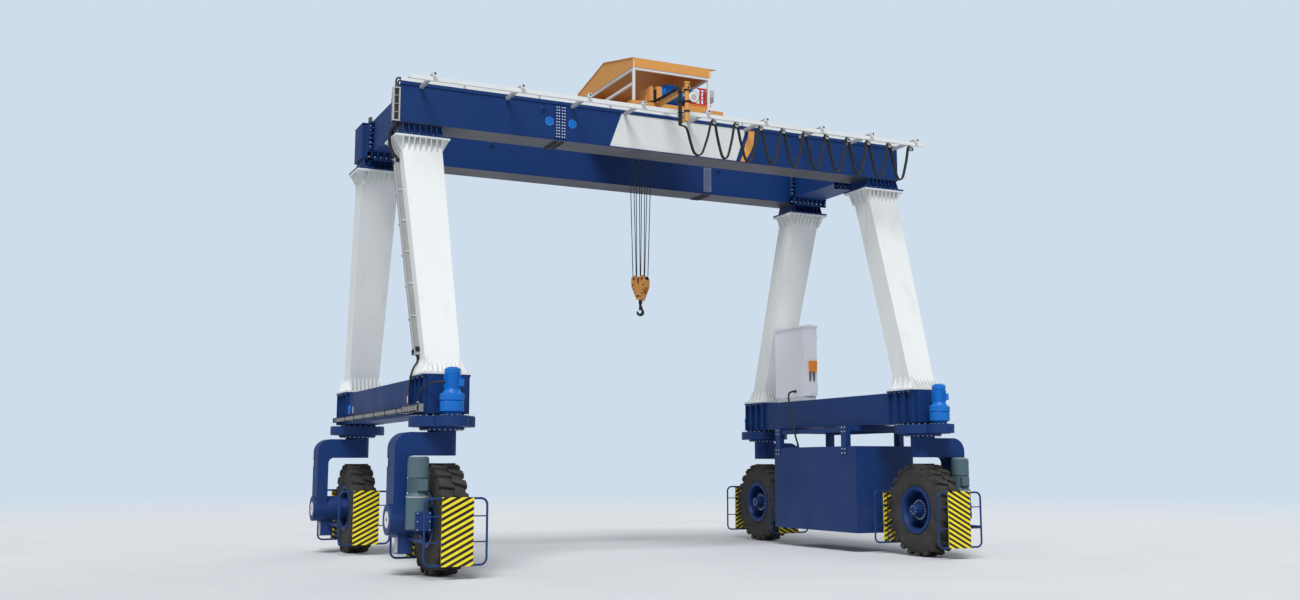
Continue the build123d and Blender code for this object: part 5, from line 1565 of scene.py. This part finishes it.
@dataclass
class Festoon:
    """The flat cable that hangs in loops from carriers between the fixed clamp and the tow arm."""

    carriers_x: Floats = (5.432, 4.864, 4.311, 3.785, 3.242, 2.701, 2.161, 1.618, 1.039, 0.512, -0.198)
    line_y: float = -2.700
    carrier_z: float = 8.760
    saddle: float = 0.045
    low_z: float = 8.055
    # The cable's way over a saddle, in saddle radii along X and Z
    arch: tuple[Pair, ...] = (
        (-1.0, 0.0), (-1.0, 0.6), (-0.55, 1.12), (0.55, 1.12), (1.0, 0.6), (1.0, 0.0))
    # One side of a loop: share of its depth and of half its width
    shape: tuple[Pair, ...] = ((0.0, 0.835), (0.30, 0.72), (0.68, 0.47), (1.01, 0.22))
    far: float = 500.0
    # The last loop's end at the tow arm: place along X, shift along Y, height and share of its turn
    tow_end: tuple[tuple[float, float, float, float], ...] = (
        (-0.062, 0.000, 8.490, 0.0), (-0.110, -0.010, 8.590, 0.1), (-0.215, -0.070, 8.600, 0.4),
        (-0.335, -0.170, 8.560, 0.9), (-0.352, -0.205, 8.610, 1.0), (-0.352, -0.205, 8.720, 1.0))

    @property
    def loops(self) -> int:
        """How many loops the cable hangs in."""
        return len(self.carriers_x) - 1

    @staticmethod
    def eased(share: float) -> float:
        """Gives the place on the smooth step that has this share."""
        return 0.5 - math.sin(math.asin(max(-1.0, min(1.0, 1 - 2 * share))) / 3)

    def build(self) -> None:
        """Builds every carrier and every loop."""
        for index, x in enumerate(self.carriers_x):
            self.carrier(index, x)
        for index, (first, last) in enumerate(zip(self.carriers_x, self.carriers_x[1:])):
            self.loop(index, first, last)

    def carrier(self, index: int, x: float) -> None:
        """Builds one carrier with the cable over its saddle.

        Args:
            index: the carrier's number, from the fixed end.
            x: where it hangs.
        """
        forge = Forge(f"festoon_carrier_{index:02d}")
        y, z, radius = self.line_y, self.carrier_z, self.saddle
        forge.rod((x, y - 0.044, z), (x, y + 0.044, z), radius - 0.014, DARK_TRIM_AND_PAINTED_SHADE, sides=20)
        for edge in (-1, 1):
            forge.rod((x, y + edge * 0.044, z), (x, y + edge * 0.048, z), radius - 0.008, ZINC, sides=24)
            plate = y + edge * 0.046
            forge.box((x - 0.018, plate - 0.002, z), (x + 0.018, plate + 0.002, z + 0.083), ZINC, 0.001)
        forge.box((x - 0.024, y - 0.048, z + 0.072), (x + 0.024, y + 0.048, z + 0.083), ZINC, 0.002)
        for line in () if index == self.loops else FLAT_CABLE_LINES:
            points = [(x + along * radius, y + line, z + up * radius) for along, up in self.arch]
            forge.tube(points, FLAT_CABLE_RADIUS, CABLE, 2)
        if index == 0:
            forge.box((x + 0.030, y - 0.030, z - 0.030), (x + 0.085, y + 0.030, z + 0.045), DARK_TRIM_AND_PAINTED_SHADE, 0.004)
        made = forge.piece()
        if index == 0:
            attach(made, "gantry")
        elif index == self.loops:
            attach(made, "trolley")
            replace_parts(made, "festoon_cable")
        else:
            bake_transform(made)

    def run(self, index: int, first: float, last: float, line: float) -> list[Point]:
        """Gives the points that one line of a loop follows.

        Args:
            index: the loop's number, from the fixed end.
            first, last: where its two carriers hang.
            line: the line's place across the flat cable.

        Returns:
            The points, from the fixed side to the trolley's side.
        """
        middle, half = (first + last) / 2, (first - last) / 2
        depth = self.carrier_z - self.low_z
        side = [(half * reach, self.carrier_z - depth * drop) for drop, reach in self.shape]
        points = [(middle + away, self.line_y + line, z) for away, z in side]
        points += [(middle - away, self.line_y + line, z) for away, z in reversed(side)]
        if index == self.loops - 1:
            points[-2:] = [(x + line * turn, self.line_y + line * (1 - turn) + back, z)
                           for x, back, z, turn in self.tow_end]
        return points

    def loop(self, index: int, first: float, last: float) -> None:
        """Builds the cables of one loop.

        Args:
            index: the loop's number, from the fixed end.
            first, last: where its two carriers hang.
        """
        forge = Forge(f"festoon_loop_{index:02d}")
        for line in FLAT_CABLE_LINES:
            forge.tube(self.run(index, first, last, line), FLAT_CABLE_RADIUS, CABLE, 2)
        made = forge.piece()
        middle, half = (first + last) / 2, (first - last) / 2
        near, far = middle + half * self.shape[0][1], middle - half * self.shape[0][1]
        here, there = self.eased(index / self.loops), self.eased((index + 1) / self.loops)
        rate = (far - near) / (there - here)
        start = near - here * rate
        start + rate
        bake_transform(made)


@dataclass
class HeldCables:
    """The cables that run from one housing or tray to the next on the gantry."""

    routes: tuple[tuple[str, float, float, tuple[Point, ...]], ...] = (
        ("cabinet_cable", 0.044, 1.69, (
            (4.830, 1.130, 3.620), (4.740, 1.130, 3.620), (4.610, 1.090, 3.590), (4.500, 0.950, 3.440),
            (4.455, 0.800, 3.180), (4.448, 0.690, 2.900), (4.448, 0.620, 2.660), (4.465, 0.585, 2.480),
            (4.505, 0.575, 2.380), (4.505, 0.575, 2.280))),
        ("leg_cable", 0.036, 0.93, (
            (-5.528, -2.791, 3.787), (-5.525, -2.825, 3.680), (-5.615, -2.835, 3.560), (-5.652, -2.810, 3.400),
            (-5.650, -2.740, 3.180), (-5.639, -2.690, 3.010), (-5.639, -2.690, 2.905))),
        ("steering_cable", 0.032, 0.81, (
            (-5.639, -3.300, 2.905), (-5.639, -3.300, 3.000), (-5.630, -3.400, 3.130), (-5.590, -3.560, 3.220),
            (-5.500, -3.690, 3.262), (-5.400, -3.765, 3.270), (-5.310, -3.765, 3.270))),
        ("knee_cable", 0.060, 0.75, (
            (-5.792, -1.840, 8.252), (-5.805, -1.840, 8.170), (-5.862, -1.760, 8.070), (-5.868, -1.700, 7.960),
            (-5.845, -1.640, 7.860), (-5.775, -1.590, 7.720), (-5.708, -1.573, 7.615))),
    )

    def build(self) -> None:
        """Builds each cable as a curve on the gantry."""
        for name, diameter, length, points in self.routes:
            curve = smooth_curve(name, points, diameter / 2, CORD_SMOOTHNESS, CORD_STEPS)
            curve.materials.append(CABLE.material())
            cable = bpy.data.objects.new(name, curve)
            bpy.context.scene.collection.objects.link(cable)
            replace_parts(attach(cable, "gantry"), "cables")
        self.glands()

    def glands(self) -> None:
        """Builds the tapered strain relief and its nut at both ends of each cable."""
        forge = Forge("cable_glands")
        for _, diameter, _, points in self.routes:
            for end, inner in ((points[0], points[1]), (points[-1], points[-2])):
                start = Vector(end)
                way = (Vector(inner) - start).normalized()
                nut = start + way * diameter * 0.5
                forge.rod(start - way * 0.004, nut, diameter * 0.82, DARK_TRIM_AND_PAINTED_SHADE, sides=BOLT_SIDES)
                forge.rod(nut, start + way * diameter * 2.1, diameter * 0.72, CABLE, tip=diameter * 0.53)
        forge.ride("gantry")


@dataclass
class Wiring:
    """Clips, lids and glands of the cable trays and of the cables that lie on the gantry."""

    tray_x: float = -5.660
    tray_y: Pair = (-2.390, 3.480)
    tray_z: Pair = (2.790, 2.885)
    leg_foot: Triple = (-5.548, -2.790, 3.790)
    leg_head: Triple = (-5.700, -1.571, 7.600)
    top_y: Pair = (-1.887, -1.827)
    top_z: Pair = (GIRDER_TOP, 9.037)
    lid_z: float = 9.104
    lid_x: float = 5.716
    seams_x: Pair = (-4.472, 4.742)
    brackets_x: Floats = (-5.33, -3.62, -2.25, -1.09, 0.36, 1.73, 3.11, 4.38, 5.57)

    def build(self) -> None:
        """Builds the trays' joints and the cables' clips."""
        self.tray_joints()
        self.channel_clips()
        self.end_channel()
        self.bracket_ends()

    def tray_joints(self) -> None:
        """Builds the covers over the joints of the ground beam's tray, and its box's lid."""
        forge = Forge("tray_joints")
        x = self.tray_x
        near, far = self.tray_y
        low, high = self.tray_z
        for y in spread(7, near + 0.45, far - 0.30):
            forge.box((x - 0.006, y - 0.020, low - 0.006), (x + 0.050, y + 0.020, high + 0.006), DARK_TRIM_AND_PAINTED_SHADE,
                      0.002)
        for z in (low - 0.004, high - 0.010):
            forge.box((x - 0.005, near + 0.01, z), (x + 0.004, far + 0.004, z + 0.014), DARK_TRIM_AND_PAINTED_SHADE, 0.0)
        forge.box((x - 0.004, far - 0.16, low), (x + 0.004, far + 0.003, high), DARK_TRIM_AND_PAINTED_SHADE, 0.002)
        forge.box((-5.692, -3.480, 2.778), (-5.678, -2.410, 2.897), DARK_TRIM_AND_PAINTED_SHADE, 0.003)
        for y in spread(5, -3.330, -2.560):
            forge.box((-5.696, y - 0.075, 2.796), (-5.690, y + 0.075, 2.880), TRAY_GREY, 0.003)
        for y in (-3.440, -2.945, -2.450):
            for z in (2.796, 2.880):
                forge.bolt((-5.692, y, z), (-1, 0, 0), 0.016)
        for spot in ((-5.639, -2.690, 2.905), (-5.639, -3.300, 2.905)):
            forge.rod(spot, Vector(spot) + Vector((0, 0, 0.045)), 0.024, ZINC, sides=BOLT_SIDES)
        forge.ride("gantry")

    def channel_clips(self) -> None:
        """Builds the bands round the leg's channel and the lids' seams on the girder's channel."""
        forge = Forge("channel_clips")
        foot, head = Vector(self.leg_foot), Vector(self.leg_head)
        turn = (head - foot).normalized().to_track_quat("Z", "Y").to_matrix()
        for share in spread(7, 0.02, 0.98):
            inner = 0.05 < share < 0.95
            half = (0.050, 0.106, 0.014) if inner else (0.046, 0.102, 0.045)
            forge.block(foot + (head - foot) * share, half, PALE_GREY if inner else DARK_TRIM_AND_PAINTED_SHADE, 0.003, turn)
        for half_x, half_y, finish in ((0.040, 0.096, TRAY_GREY), (0.043, 0.050, PALE_GREY)):
            corners = ((-half_x, -half_y), (half_x, -half_y), (half_x, half_y), (-half_x, half_y))
            forge.prism([foot + Vector((x, y, 0)) for x, y in corners], head - foot, finish, 0.004)
        near, far = self.top_y
        low, high = self.top_z
        forge.box((-self.lid_x, near + 0.001, high - 0.010), (self.lid_x, far - 0.001, self.lid_z), WHITE,
                  0.004)
        for x in spread(7, *self.seams_x):
            forge.box((x - 0.006, near, low + 0.004), (x + 0.006, far, self.lid_z + 0.001), DARK_TRIM_AND_PAINTED_SHADE, 0.0)
            forge.box((x - 0.040, near - 0.0015, high + 0.012), (x - 0.010, far, self.lid_z - 0.014),
                      PALE_GREY, 0.001)
        forge.ride("gantry")

    def end_channel(self) -> None:
        """Builds the cables, side rails and end plates of the channel on the girder's left end."""
        forge = Forge("end_channel")
        front = -GIRDER_FACE_Y
        for low, high in ((-5.858, -5.834), (-5.746, -5.722)):
            forge.box((low, front - 0.016, 8.276), (high, front + 0.010, 8.884), PALE_GREY, 0.002)
        for x in spread(3, -5.812, -5.768):
            forge.rod((x, front - 0.002, 8.272), (x, front - 0.002, 8.888), 0.0155, CABLE, sides=12)
        for z in (8.262, 8.892):
            forge.box((-5.862, front - 0.017, z - 0.012), (-5.720, front + 0.068, z + 0.012), PALE_GREY, 0.002)
            forge.box((-5.856, front - 0.012, z - 0.030), (-5.724, front + 0.062, z - 0.012), DARK_TRIM_AND_PAINTED_SHADE, 0.002)
        forge.box((-5.722, front + 0.004, 9.030), (-5.706, front + 0.030, 9.104), DARK_TRIM_AND_PAINTED_SHADE, 0.002)
        for far, low in ((-5.806, 9.088), (-5.768, 9.046)):
            forge.tube(((-5.715, -1.857, low), (far + 0.034, -1.857, low + 0.002), (far, -1.857, low - 0.034),
                        (far, -1.857, 8.970), (far, -1.857, 8.900)), 0.017, CABLE)
        for z in (8.420, 8.580, 8.740):
            forge.box((-5.840, front - 0.018, z - 0.005), (-5.740, front + 0.004, z + 0.005), ZINC, 0.001)
        forge.ride("gantry")

    def bracket_ends(self) -> None:
        """Builds dark discs at the outer ends of the festoon's brackets, painted shade that stands for their
        hollow bores.
        """
        forge = Forge("bracket_bores")
        for x in self.brackets_x:
            # Dark disc in the bracket's open end: painted shade for the hollow bore.
            forge.rod((x, -2.814, 8.955), (x, -2.8225, 8.955), 0.021, DARK_TRIM_AND_PAINTED_SHADE, sides=20)
            forge.rod((x, -2.700, 8.921), (x, -2.700, 8.930), 0.016, ZINC, sides=BOLT_SIDES)
        forge.ride("gantry")


@dataclass
class Trolley:
    """Wound rope, motor ribs, gear case and brake trim, bolts, roof seams and towing parts of the trolley."""

    drum: Triple = (0.160, 0.1993, 9.640)
    drum_radius: float = 0.190
    drum_half: float = 0.430
    rope: float = 0.009
    beam_half: float = 0.110
    joints_x: Pair = (-0.560, 1.010)
    wheels_x: Pair = (-0.535, 1.025)
    axle_z: float = 9.212
    eave_z: float = 10.330
    motor_axis: Triple = (0.0, -1.180, 9.672)
    motor_radius: float = 0.205
    disc: Triple = (0.744, -1.418, 9.677)
    pole: Pair = (-0.225, -2.955)

    def build(self) -> None:
        """Builds the trolley's pieces."""
        self.wound_rope()
        self.motor_ribs()
        self.gear_case()
        self.brake_bed()
        self.frame_bolts()
        self.roof_folds()
        self.tow_cable()
        self.tow_carriage()

    def wound_rope(self) -> None:
        """Builds the layer of rope that is wound on the drum."""
        forge = Forge("wound_rope")
        turns = int(2 * self.drum_half / (2.2 * self.rope))
        pitch = 2 * self.drum_half / turns
        profile = []
        for index in range(turns):
            start = -self.drum_half + index * pitch
            for share in (0.0, 0.25, 0.5, 0.75):
                lift = self.rope * 0.85 * math.sin(math.pi * share)
                profile.append((start + share * pitch, self.drum_radius + lift - 0.001))
        profile.append((self.drum_half, self.drum_radius - 0.001))
        root = self.drum_radius - 0.010
        profile = [(-self.drum_half, root), *profile, (self.drum_half, root)]
        forge.lathe(profile, self.drum, (1, 0, 0), ROPE, 40, ring=True)
        forge.ride("trolley")

    def motor_ribs(self) -> None:
        """Builds the ribs, fan cover and terminal box of the hoist motor, and the second motor's disc."""
        forge = Forge("hoist_motor_trim")
        axis, along = Vector(self.motor_axis), (1, 0, 0)
        forge.fins(axis + Vector((0.265, 0, 0)), "X", (0, 0, self.motor_radius + 0.005), (0.185, 0.004, 0.012),
                   34, DRIVE_BLUE)
        forge.box(axis + Vector((0.150, -0.110, 0.190)), axis + Vector((0.380, 0.060, 0.255)), DRIVE_BLUE,
                  0.008)
        forge.lathe(collar(0.188, 0.216, 0.030), axis + Vector((0.055, 0, 0)), along, DRIVE_BLUE, 40,
                    ring=True)
        forge.bolt_ring(axis + Vector((0.060, 0, 0)), along, 0.200, 12, 0.022)
        forge.lathe(lid(0.120, 0.004, 0.118), axis + Vector((0.535, 0, 0)), along, DARK_TRIM_AND_PAINTED_SHADE, 32)
        disc = Vector(self.disc)
        front = (0, -1, 0)
        dish = ((0.0, 0.0), (0.0, 0.132), (0.008, 0.132), (0.008, 0.118), (0.004, 0.112), (0.004, 0.0))
        ring = ((0.002, 0.0), (0.002, 0.122), (0.014, 0.120), (0.018, 0.112), (0.018, 0.074),
                (0.012, 0.070), (0.012, 0.0))
        forge.lathe(dish, disc, front, DARK_TRIM_AND_PAINTED_SHADE, 40)
        forge.lathe(ring, disc, front, WHITE, 40)
        forge.lathe(((0.010, 0.0), (0.010, 0.064), (0.020, 0.060), (0.020, 0.0)), disc, front, PALE_GREY, 32)
        forge.bolt_ring(disc + Vector((0, -0.020, 0)), front, 0.040, 4, 0.012)
        forge.fins(disc + Vector((0, 0.230, 0)), "Y", (0, 0, 0.112), (0.003, 0.170, 0.008), 20, DRIVE_BLUE)
        forge.ride("trolley")

    def gear_case(self) -> None:
        """Builds the bolts and cover lines of the hoist's gear case."""
        forge = Forge("hoist_gear_trim")
        for x, top, half in ((-0.255, 9.785, 0.020), (-0.075, 9.800, 0.048)):
            for z in spread(5, 9.400, top - 0.030):
                for place in (-half * 0.6, half * 0.6):
                    forge.bolt((x + place, -1.420, z), (0, -1, 0), 0.014)
        forge.box((-0.207, -1.402, 9.365), (-0.137, -1.399, 9.733), DARK_TRIM_AND_PAINTED_SHADE, 0.0)
        for y in spread(6, -1.380, -0.900):
            forge.bolt((-0.282, y, 9.440), (-1, 0, 0), 0.022)
            forge.bolt((-0.282, y, 9.720), (-1, 0, 0), 0.022)
        forge.lathe(lid(0.085, 0.012, 0.080), (-0.282, -1.140, 9.580), (-1, 0, 0), OCHRE, 32)
        forge.bolt_ring((-0.294, -1.140, 9.580), (-1, 0, 0), 0.062, 6, 0.018)
        forge.ride("trolley")

    def brake_bed(self) -> None:
        """Builds the ochre bed below the red frame, and the frame's struts and the box's lid."""
        forge = Forge("brake_bed")
        forge.box((0.620, -1.414, 9.362), (1.070, -1.190, 9.512), OCHRE, 0.006)
        forge.box((0.600, -1.424, 9.500), (1.090, -1.180, 9.516), OCHRE, 0.003)
        for x in (0.600, 0.915, 1.015):
            for z in (9.600, 9.840):
                forge.bolt((x, -1.420, z), (0, -1, 0), 0.018)
        for z in (9.640, 9.720, 9.800):
            forge.box((0.930, -1.412, z), (1.000, -1.396, z + 0.016), RED, 0.002)
        forge.box((1.080, -1.432, 9.716), (1.233, -1.424, 9.868), PALE_GREY, 0.004)
        forge.box((1.094, -1.428, 9.624), (1.222, -1.424, 9.712), TRAY_GREY, 0.002)
        for x in (1.090, 1.224):
            for z in (9.726, 9.858):
                forge.bolt((x, -1.432, z), (0, -1, 0), 0.012)
        forge.ride("trolley")

    def frame_bolts(self) -> None:
        """Builds the bolts of the trolley's beam joints and wheel bearings."""
        forge = Forge("trolley_bolts")
        for end in End:
            y, outward = end.value * (GIRDER_Y + self.beam_half), (0, end.value, 0)
            for x in self.joints_x:
                for place in (-0.06, 0.06):
                    for z in (9.190, 9.300):
                        forge.bolt((x + place, y, z), outward, 0.026)
            for x in self.wheels_x:
                forge.lathe(cap(0.072, 0.014, 0.020, 0.060), (x, y, self.axle_z), outward, OCHRE, 32)
                forge.bolt_ring((x, y + end.value * 0.014, self.axle_z), outward, 0.064, 6, 0.014)
        forge.ride("trolley")

    def roof_folds(self) -> None:
        """Builds the standing seams on both slopes of the roof."""
        forge = Forge("canopy_seams")
        low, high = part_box("canopy_roof")
        side = Vector((0.006, 0, 0))
        for x in spread(6, low.x + 0.02, high.x - 0.02):
            for end in (-1, 1):
                start = Vector((x, end * 0.025, high.z - 0.0058))
                finish = Vector((x, end * (high.y - 0.004), self.eave_z + 0.001))
                outline = [start - side, start + side, finish + side, finish - side]
                forge.prism(outline, (0, 0, 0.004), OCHRE)
        forge.ride("trolley")

    def tow_cable(self) -> None:
        """Builds the cables that run along the tow arm, down its pole and to the last carrier."""
        forge = Forge("tow_arm_cables")
        for shift in FLAT_CABLE_LINES:
            x = -0.352 + shift
            arm = -0.290 + shift
            points = ((-0.310, -1.330, 9.470), (arm - 0.010, -1.480, 9.420), (arm, -1.700, 9.385),
                      (arm, -2.300, 9.385), (arm - 0.010, -2.780, 9.385), (x + 0.010, -2.870, 9.375),
                      (x, -2.905, 9.280), (x, -2.905, 9.050), (x, -2.905, 8.800), (x, -2.905, 8.715))
            forge.tube(points, FLAT_CABLE_RADIUS, CABLE, 2)
        for height in (8.820, 9.040, 9.240):
            forge.box((-0.400, -2.924, height - 0.010), (-0.270, -2.886, height + 0.010), DARK_TRIM_AND_PAINTED_SHADE, 0.003)
        for y in (-1.800, -2.150, -2.500):
            forge.box((-0.332, y - 0.010, 9.360), (-0.250, y + 0.010, 9.402), DARK_TRIM_AND_PAINTED_SHADE, 0.003)
        forge.ride("trolley")

    def tow_carriage(self) -> None:
        """Builds the pole's clamps and the small carriage that it draws along under the rail."""
        forge = Forge("tow_carriage")
        x, y = self.pole
        for z in (8.846, 9.042, 9.278):
            forge.rod((x, y, z - 0.019), (x, y, z + 0.019), 0.058, DARK_TRIM_AND_PAINTED_SHADE, sides=24, bevel=0.003)
        forge.rod((x, y, 9.420), (x, y, 9.446), 0.062, OCHRE, sides=24, bevel=0.004)
        forge.box((x - 0.045, y - 0.060, 9.290), (x + 0.045, y + 0.075, 9.365), OCHRE, 0.006)
        forge.bolt((x, y - 0.060, 9.328), (0, -1, 0), 0.040, DARK_TRIM_AND_PAINTED_SHADE)
        forge.box((x - 0.035, y - 0.012, 8.660), (x + 0.035, -2.740, 8.740), OCHRE, 0.006)
        forge.box((-0.170, -2.742, 8.776), (0.100, -2.658, 8.838), PALE_GREY, 0.006)
        forge.box((-0.215, -2.746, 8.700), (-0.150, -2.690, 8.836), OCHRE, 0.004)
        for place in (-0.100, 0.060):
            forge.rod((place, -2.744, 8.806), (place, -2.752, 8.806), 0.020, ZINC, sides=16)
        forge.ride("trolley")


@dataclass
class HookBlock:
    """The hoist ropes, the dress of the turned hook block, and the hook's nut."""

    middle_x: float = 0.160
    turn: float = math.radians(-46)
    head_z: float = 9.640
    sheave_z: float = 5.905
    sheave_place: float = 0.090
    sheave_row: float = 0.100
    rope_reach: float = 0.045
    rope: float = 0.009
    heads: Floats = (-0.290, -0.210, -0.120, -0.040, 0.040, 0.120, 0.210, 0.290)
    cheek: float = 0.145
    foot_z: float = 5.425
    wide_z: float = 5.720

    def point(self, across: float, forward: float, z: float) -> Vector:
        """Gives a point of the turned block from its place across, forward and up."""
        way = Vector((math.cos(self.turn), math.sin(self.turn), 0.0))
        front = Vector((math.sin(self.turn), -math.cos(self.turn), 0.0))
        return Vector((self.middle_x, 0.0, z)) + way * across + front * forward

    def build(self) -> None:
        """Builds the ropes and the block's fittings."""
        self.ropes()
        self.fittings()
        self.hook_fittings()

    def ropes(self) -> None:
        """Builds the falls as one piece."""
        forge = Forge("rope_falls")
        feet = [(side * self.sheave_place + edge * self.rope_reach, row * self.sheave_row)
                for side in (-1, 1) for edge in (-1, 1) for row in (1, -1)]
        for head, (across, forward) in zip(self.heads, feet):
            start = (self.middle_x + head, 0.0, self.head_z)
            forge.rod(start, self.point(across, forward, self.sheave_z), self.rope, ROPE, sides=10)
        made = forge.piece()
        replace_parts(made, "hoist_ropes")
        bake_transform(made)

    def fittings(self) -> None:
        """Builds the pin ends, slots and tie bolts on both cheeks."""
        forge = Forge("hook_block_trim")
        outward = self.point(0.0, 1.0, 0.0) - self.point(0.0, 0.0, 0.0)
        spin = Matrix.Rotation(self.turn, 3, "Z")
        for face in (-1, 1):
            normal = outward * face
            for side in (-1, 1):
                pin = self.point(side * self.sheave_place, face * (self.cheek + 0.012), self.sheave_z - 0.025)
                forge.rod(pin, pin + normal * 0.010, 0.022, FORGED, sides=24, bevel=0.002)
                tie = self.point(side * 0.125, face * self.cheek, 5.745)
                forge.bolt(tie, normal, 0.034, FORGED)
                # Each slot is a thin dark block on the cheek: painted shade standing for the opening.
                for share in (0.25, 0.50, 0.75):
                    z = self.foot_z + share * (self.wide_z - self.foot_z)
                    across = side * (0.018 + share * 0.112)
                    spot = self.point(across, face * self.cheek, z)
                    lean = Matrix.Rotation(-side * 1.18, 3, outward)
                    forge.block(spot, (0.016, 0.004, 0.009), DARK_TRIM_AND_PAINTED_SHADE, 0.0, lean @ spin)
            nut = self.point(0.0, face * self.cheek, 5.500)
            forge.bolt(nut, normal, 0.044, FORGED)
            plate = self.point(0.0, face * self.cheek, 5.840)
            forge.block(plate, (0.016, 0.003, 0.060), DARK_TRIM_AND_PAINTED_SHADE, 0.001, spin)
        for z in (5.735, 5.830):
            bar = self.point(-0.157, 0.0, z)
            forge.rod(bar - outward * 0.06, bar + outward * 0.06, 0.008, FORGED, sides=12)
        forge.ride("hook_block")

    def hook_fittings(self) -> None:
        """Builds the collar and nut where the hook's shank enters the block."""
        forge = Forge("hook_collar")
        top = self.foot_z - 0.0003
        profile = ((-0.085, 0.0), (-0.085, 0.036), (-0.070, 0.040), (-0.020, 0.040), (-0.012, 0.036),
                   (-0.004, 0.036), (-0.004, 0.0))
        forge.lathe(profile, (self.middle_x, 0.0, top), UP, FORGED, 32)
        forge.ride("hook")


class Nodes:
    """The finishes of the solids that show as they are."""

    def build(self) -> None:
        """Gives each shown solid its own finish, or the one of its material slot."""
        for row in frame["record"]["subparts"]:
            self.coat(row["node"], NODE_FINISHES[row["material_slot"]])
        for name, finish in OWN_FINISHES.items():
            self.coat(name, finish)

    @staticmethod
    def coat(name: str, finish: Finish) -> None:
        """Puts one finish on the named node, in place of what it has."""
        materials = frame["nodes"][name].data.materials
        materials.clear()
        materials.append(finish.material())


@dataclass
class Studio:
    """The pale floor, the soft lights and the camera."""

    eye: Triple = (-11.527, -24.546, 1.843)
    yaw: float = -25.897
    pitch: float = 7.521
    roll: float = 0.019
    lens: float = 34.886
    sensor: float = 36.0
    floor_radius: float = 80.0
    backdrop: Colour = paint(206, 221, 236)
    ambient: Colour = paint(236, 241, 248)

    def build(self) -> None:
        """Builds the floor, lights, backdrop and camera."""
        self.floor()
        self.lights()
        self.world()
        self.camera()

    def floor(self) -> None:
        """Lays a large round floor."""
        mesh = bmesh.new()
        bmesh.ops.create_circle(mesh, cap_ends=True, segments=96, radius=self.floor_radius)
        data = bpy.data.meshes.new("floor")
        mesh.to_mesh(data)
        mesh.free()
        data.materials.append(Ground("floor_finish").material())
        floor = bpy.data.objects.new("floor", data)
        bpy.context.scene.collection.objects.link(floor)

    def lights(self) -> None:
        """Hangs one broad key light from the front left and a weak fill from behind."""
        for name, direction, power, width in (("key", (-0.34, -0.52, 0.86), 2.65, 26.0),
                                              ("fill", (0.70, 0.50, 0.55), 0.4, 40.0)):
            light = bpy.data.lights.new(name, "SUN")
            light.energy = power
            light.angle = math.radians(width)
            lamp = bpy.data.objects.new(name, light)
            lamp.rotation_euler = Vector(direction).to_track_quat("Z", "Y").to_euler()
            bpy.context.scene.collection.objects.link(lamp)

    def world(self) -> None:
        """Lights the scene evenly, and shows a pale backdrop to the camera."""
        world = bpy.data.worlds.new("studio")
        bpy.context.scene.world = world
        world.use_nodes = True
        tree = world.node_tree
        tree.nodes.clear()
        output = tree.nodes.new("ShaderNodeOutputWorld")
        mixed = tree.nodes.new("ShaderNodeMixShader")
        paths = tree.nodes.new("ShaderNodeLightPath")
        for index, (colour, strength) in enumerate(((self.ambient, 0.40), (self.backdrop, 1.0))):
            glow = tree.nodes.new("ShaderNodeBackground")
            glow.inputs["Color"].default_value = (*colour, 1.0)
            glow.inputs["Strength"].default_value = strength
            tree.links.new(glow.outputs[0], mixed.inputs[1 + index])
        tree.links.new(paths.outputs["Is Camera Ray"], mixed.inputs[0])
        tree.links.new(mixed.outputs[0], output.inputs["Surface"])

    def camera(self) -> None:
        """Sets up the camera at the photograph's own place and angle."""
        data = bpy.data.cameras.new("camera")
        data.sensor_width = self.sensor
        data.lens = self.lens
        data.clip_end = 500.0
        eye = bpy.data.objects.new("camera", data)
        eye.location = self.eye
        eye.rotation_euler = (math.radians(90 + self.pitch), math.radians(self.roll), math.radians(self.yaw))
        bpy.context.scene.collection.objects.link(eye)
        bpy.context.scene.camera = eye
        bpy.context.scene.view_settings.view_transform = "Standard"


def main() -> None:
    """Builds the scene: the stage first, then each sub-assembly in turn."""
    logging.basicConfig(level=logging.INFO, format="%(name)s %(message)s")
    Studio().build()
    HeldCables().build()
    Festoon().build()
    Nodes().build()
    Girders().build()
    Legs().build()
    GroundBeams().build()
    SteeringDrives().build()
    for side, end in CORNERS:
        Bogie(side, end).build()
        Wheel(side, end).build()
        Guards(side, end).build()
    PowerPack().build()
    Cabinet().build()
    Wiring().build()
    Trolley().build()
    HookBlock().build()


if __name__ == "__main__":
    main()
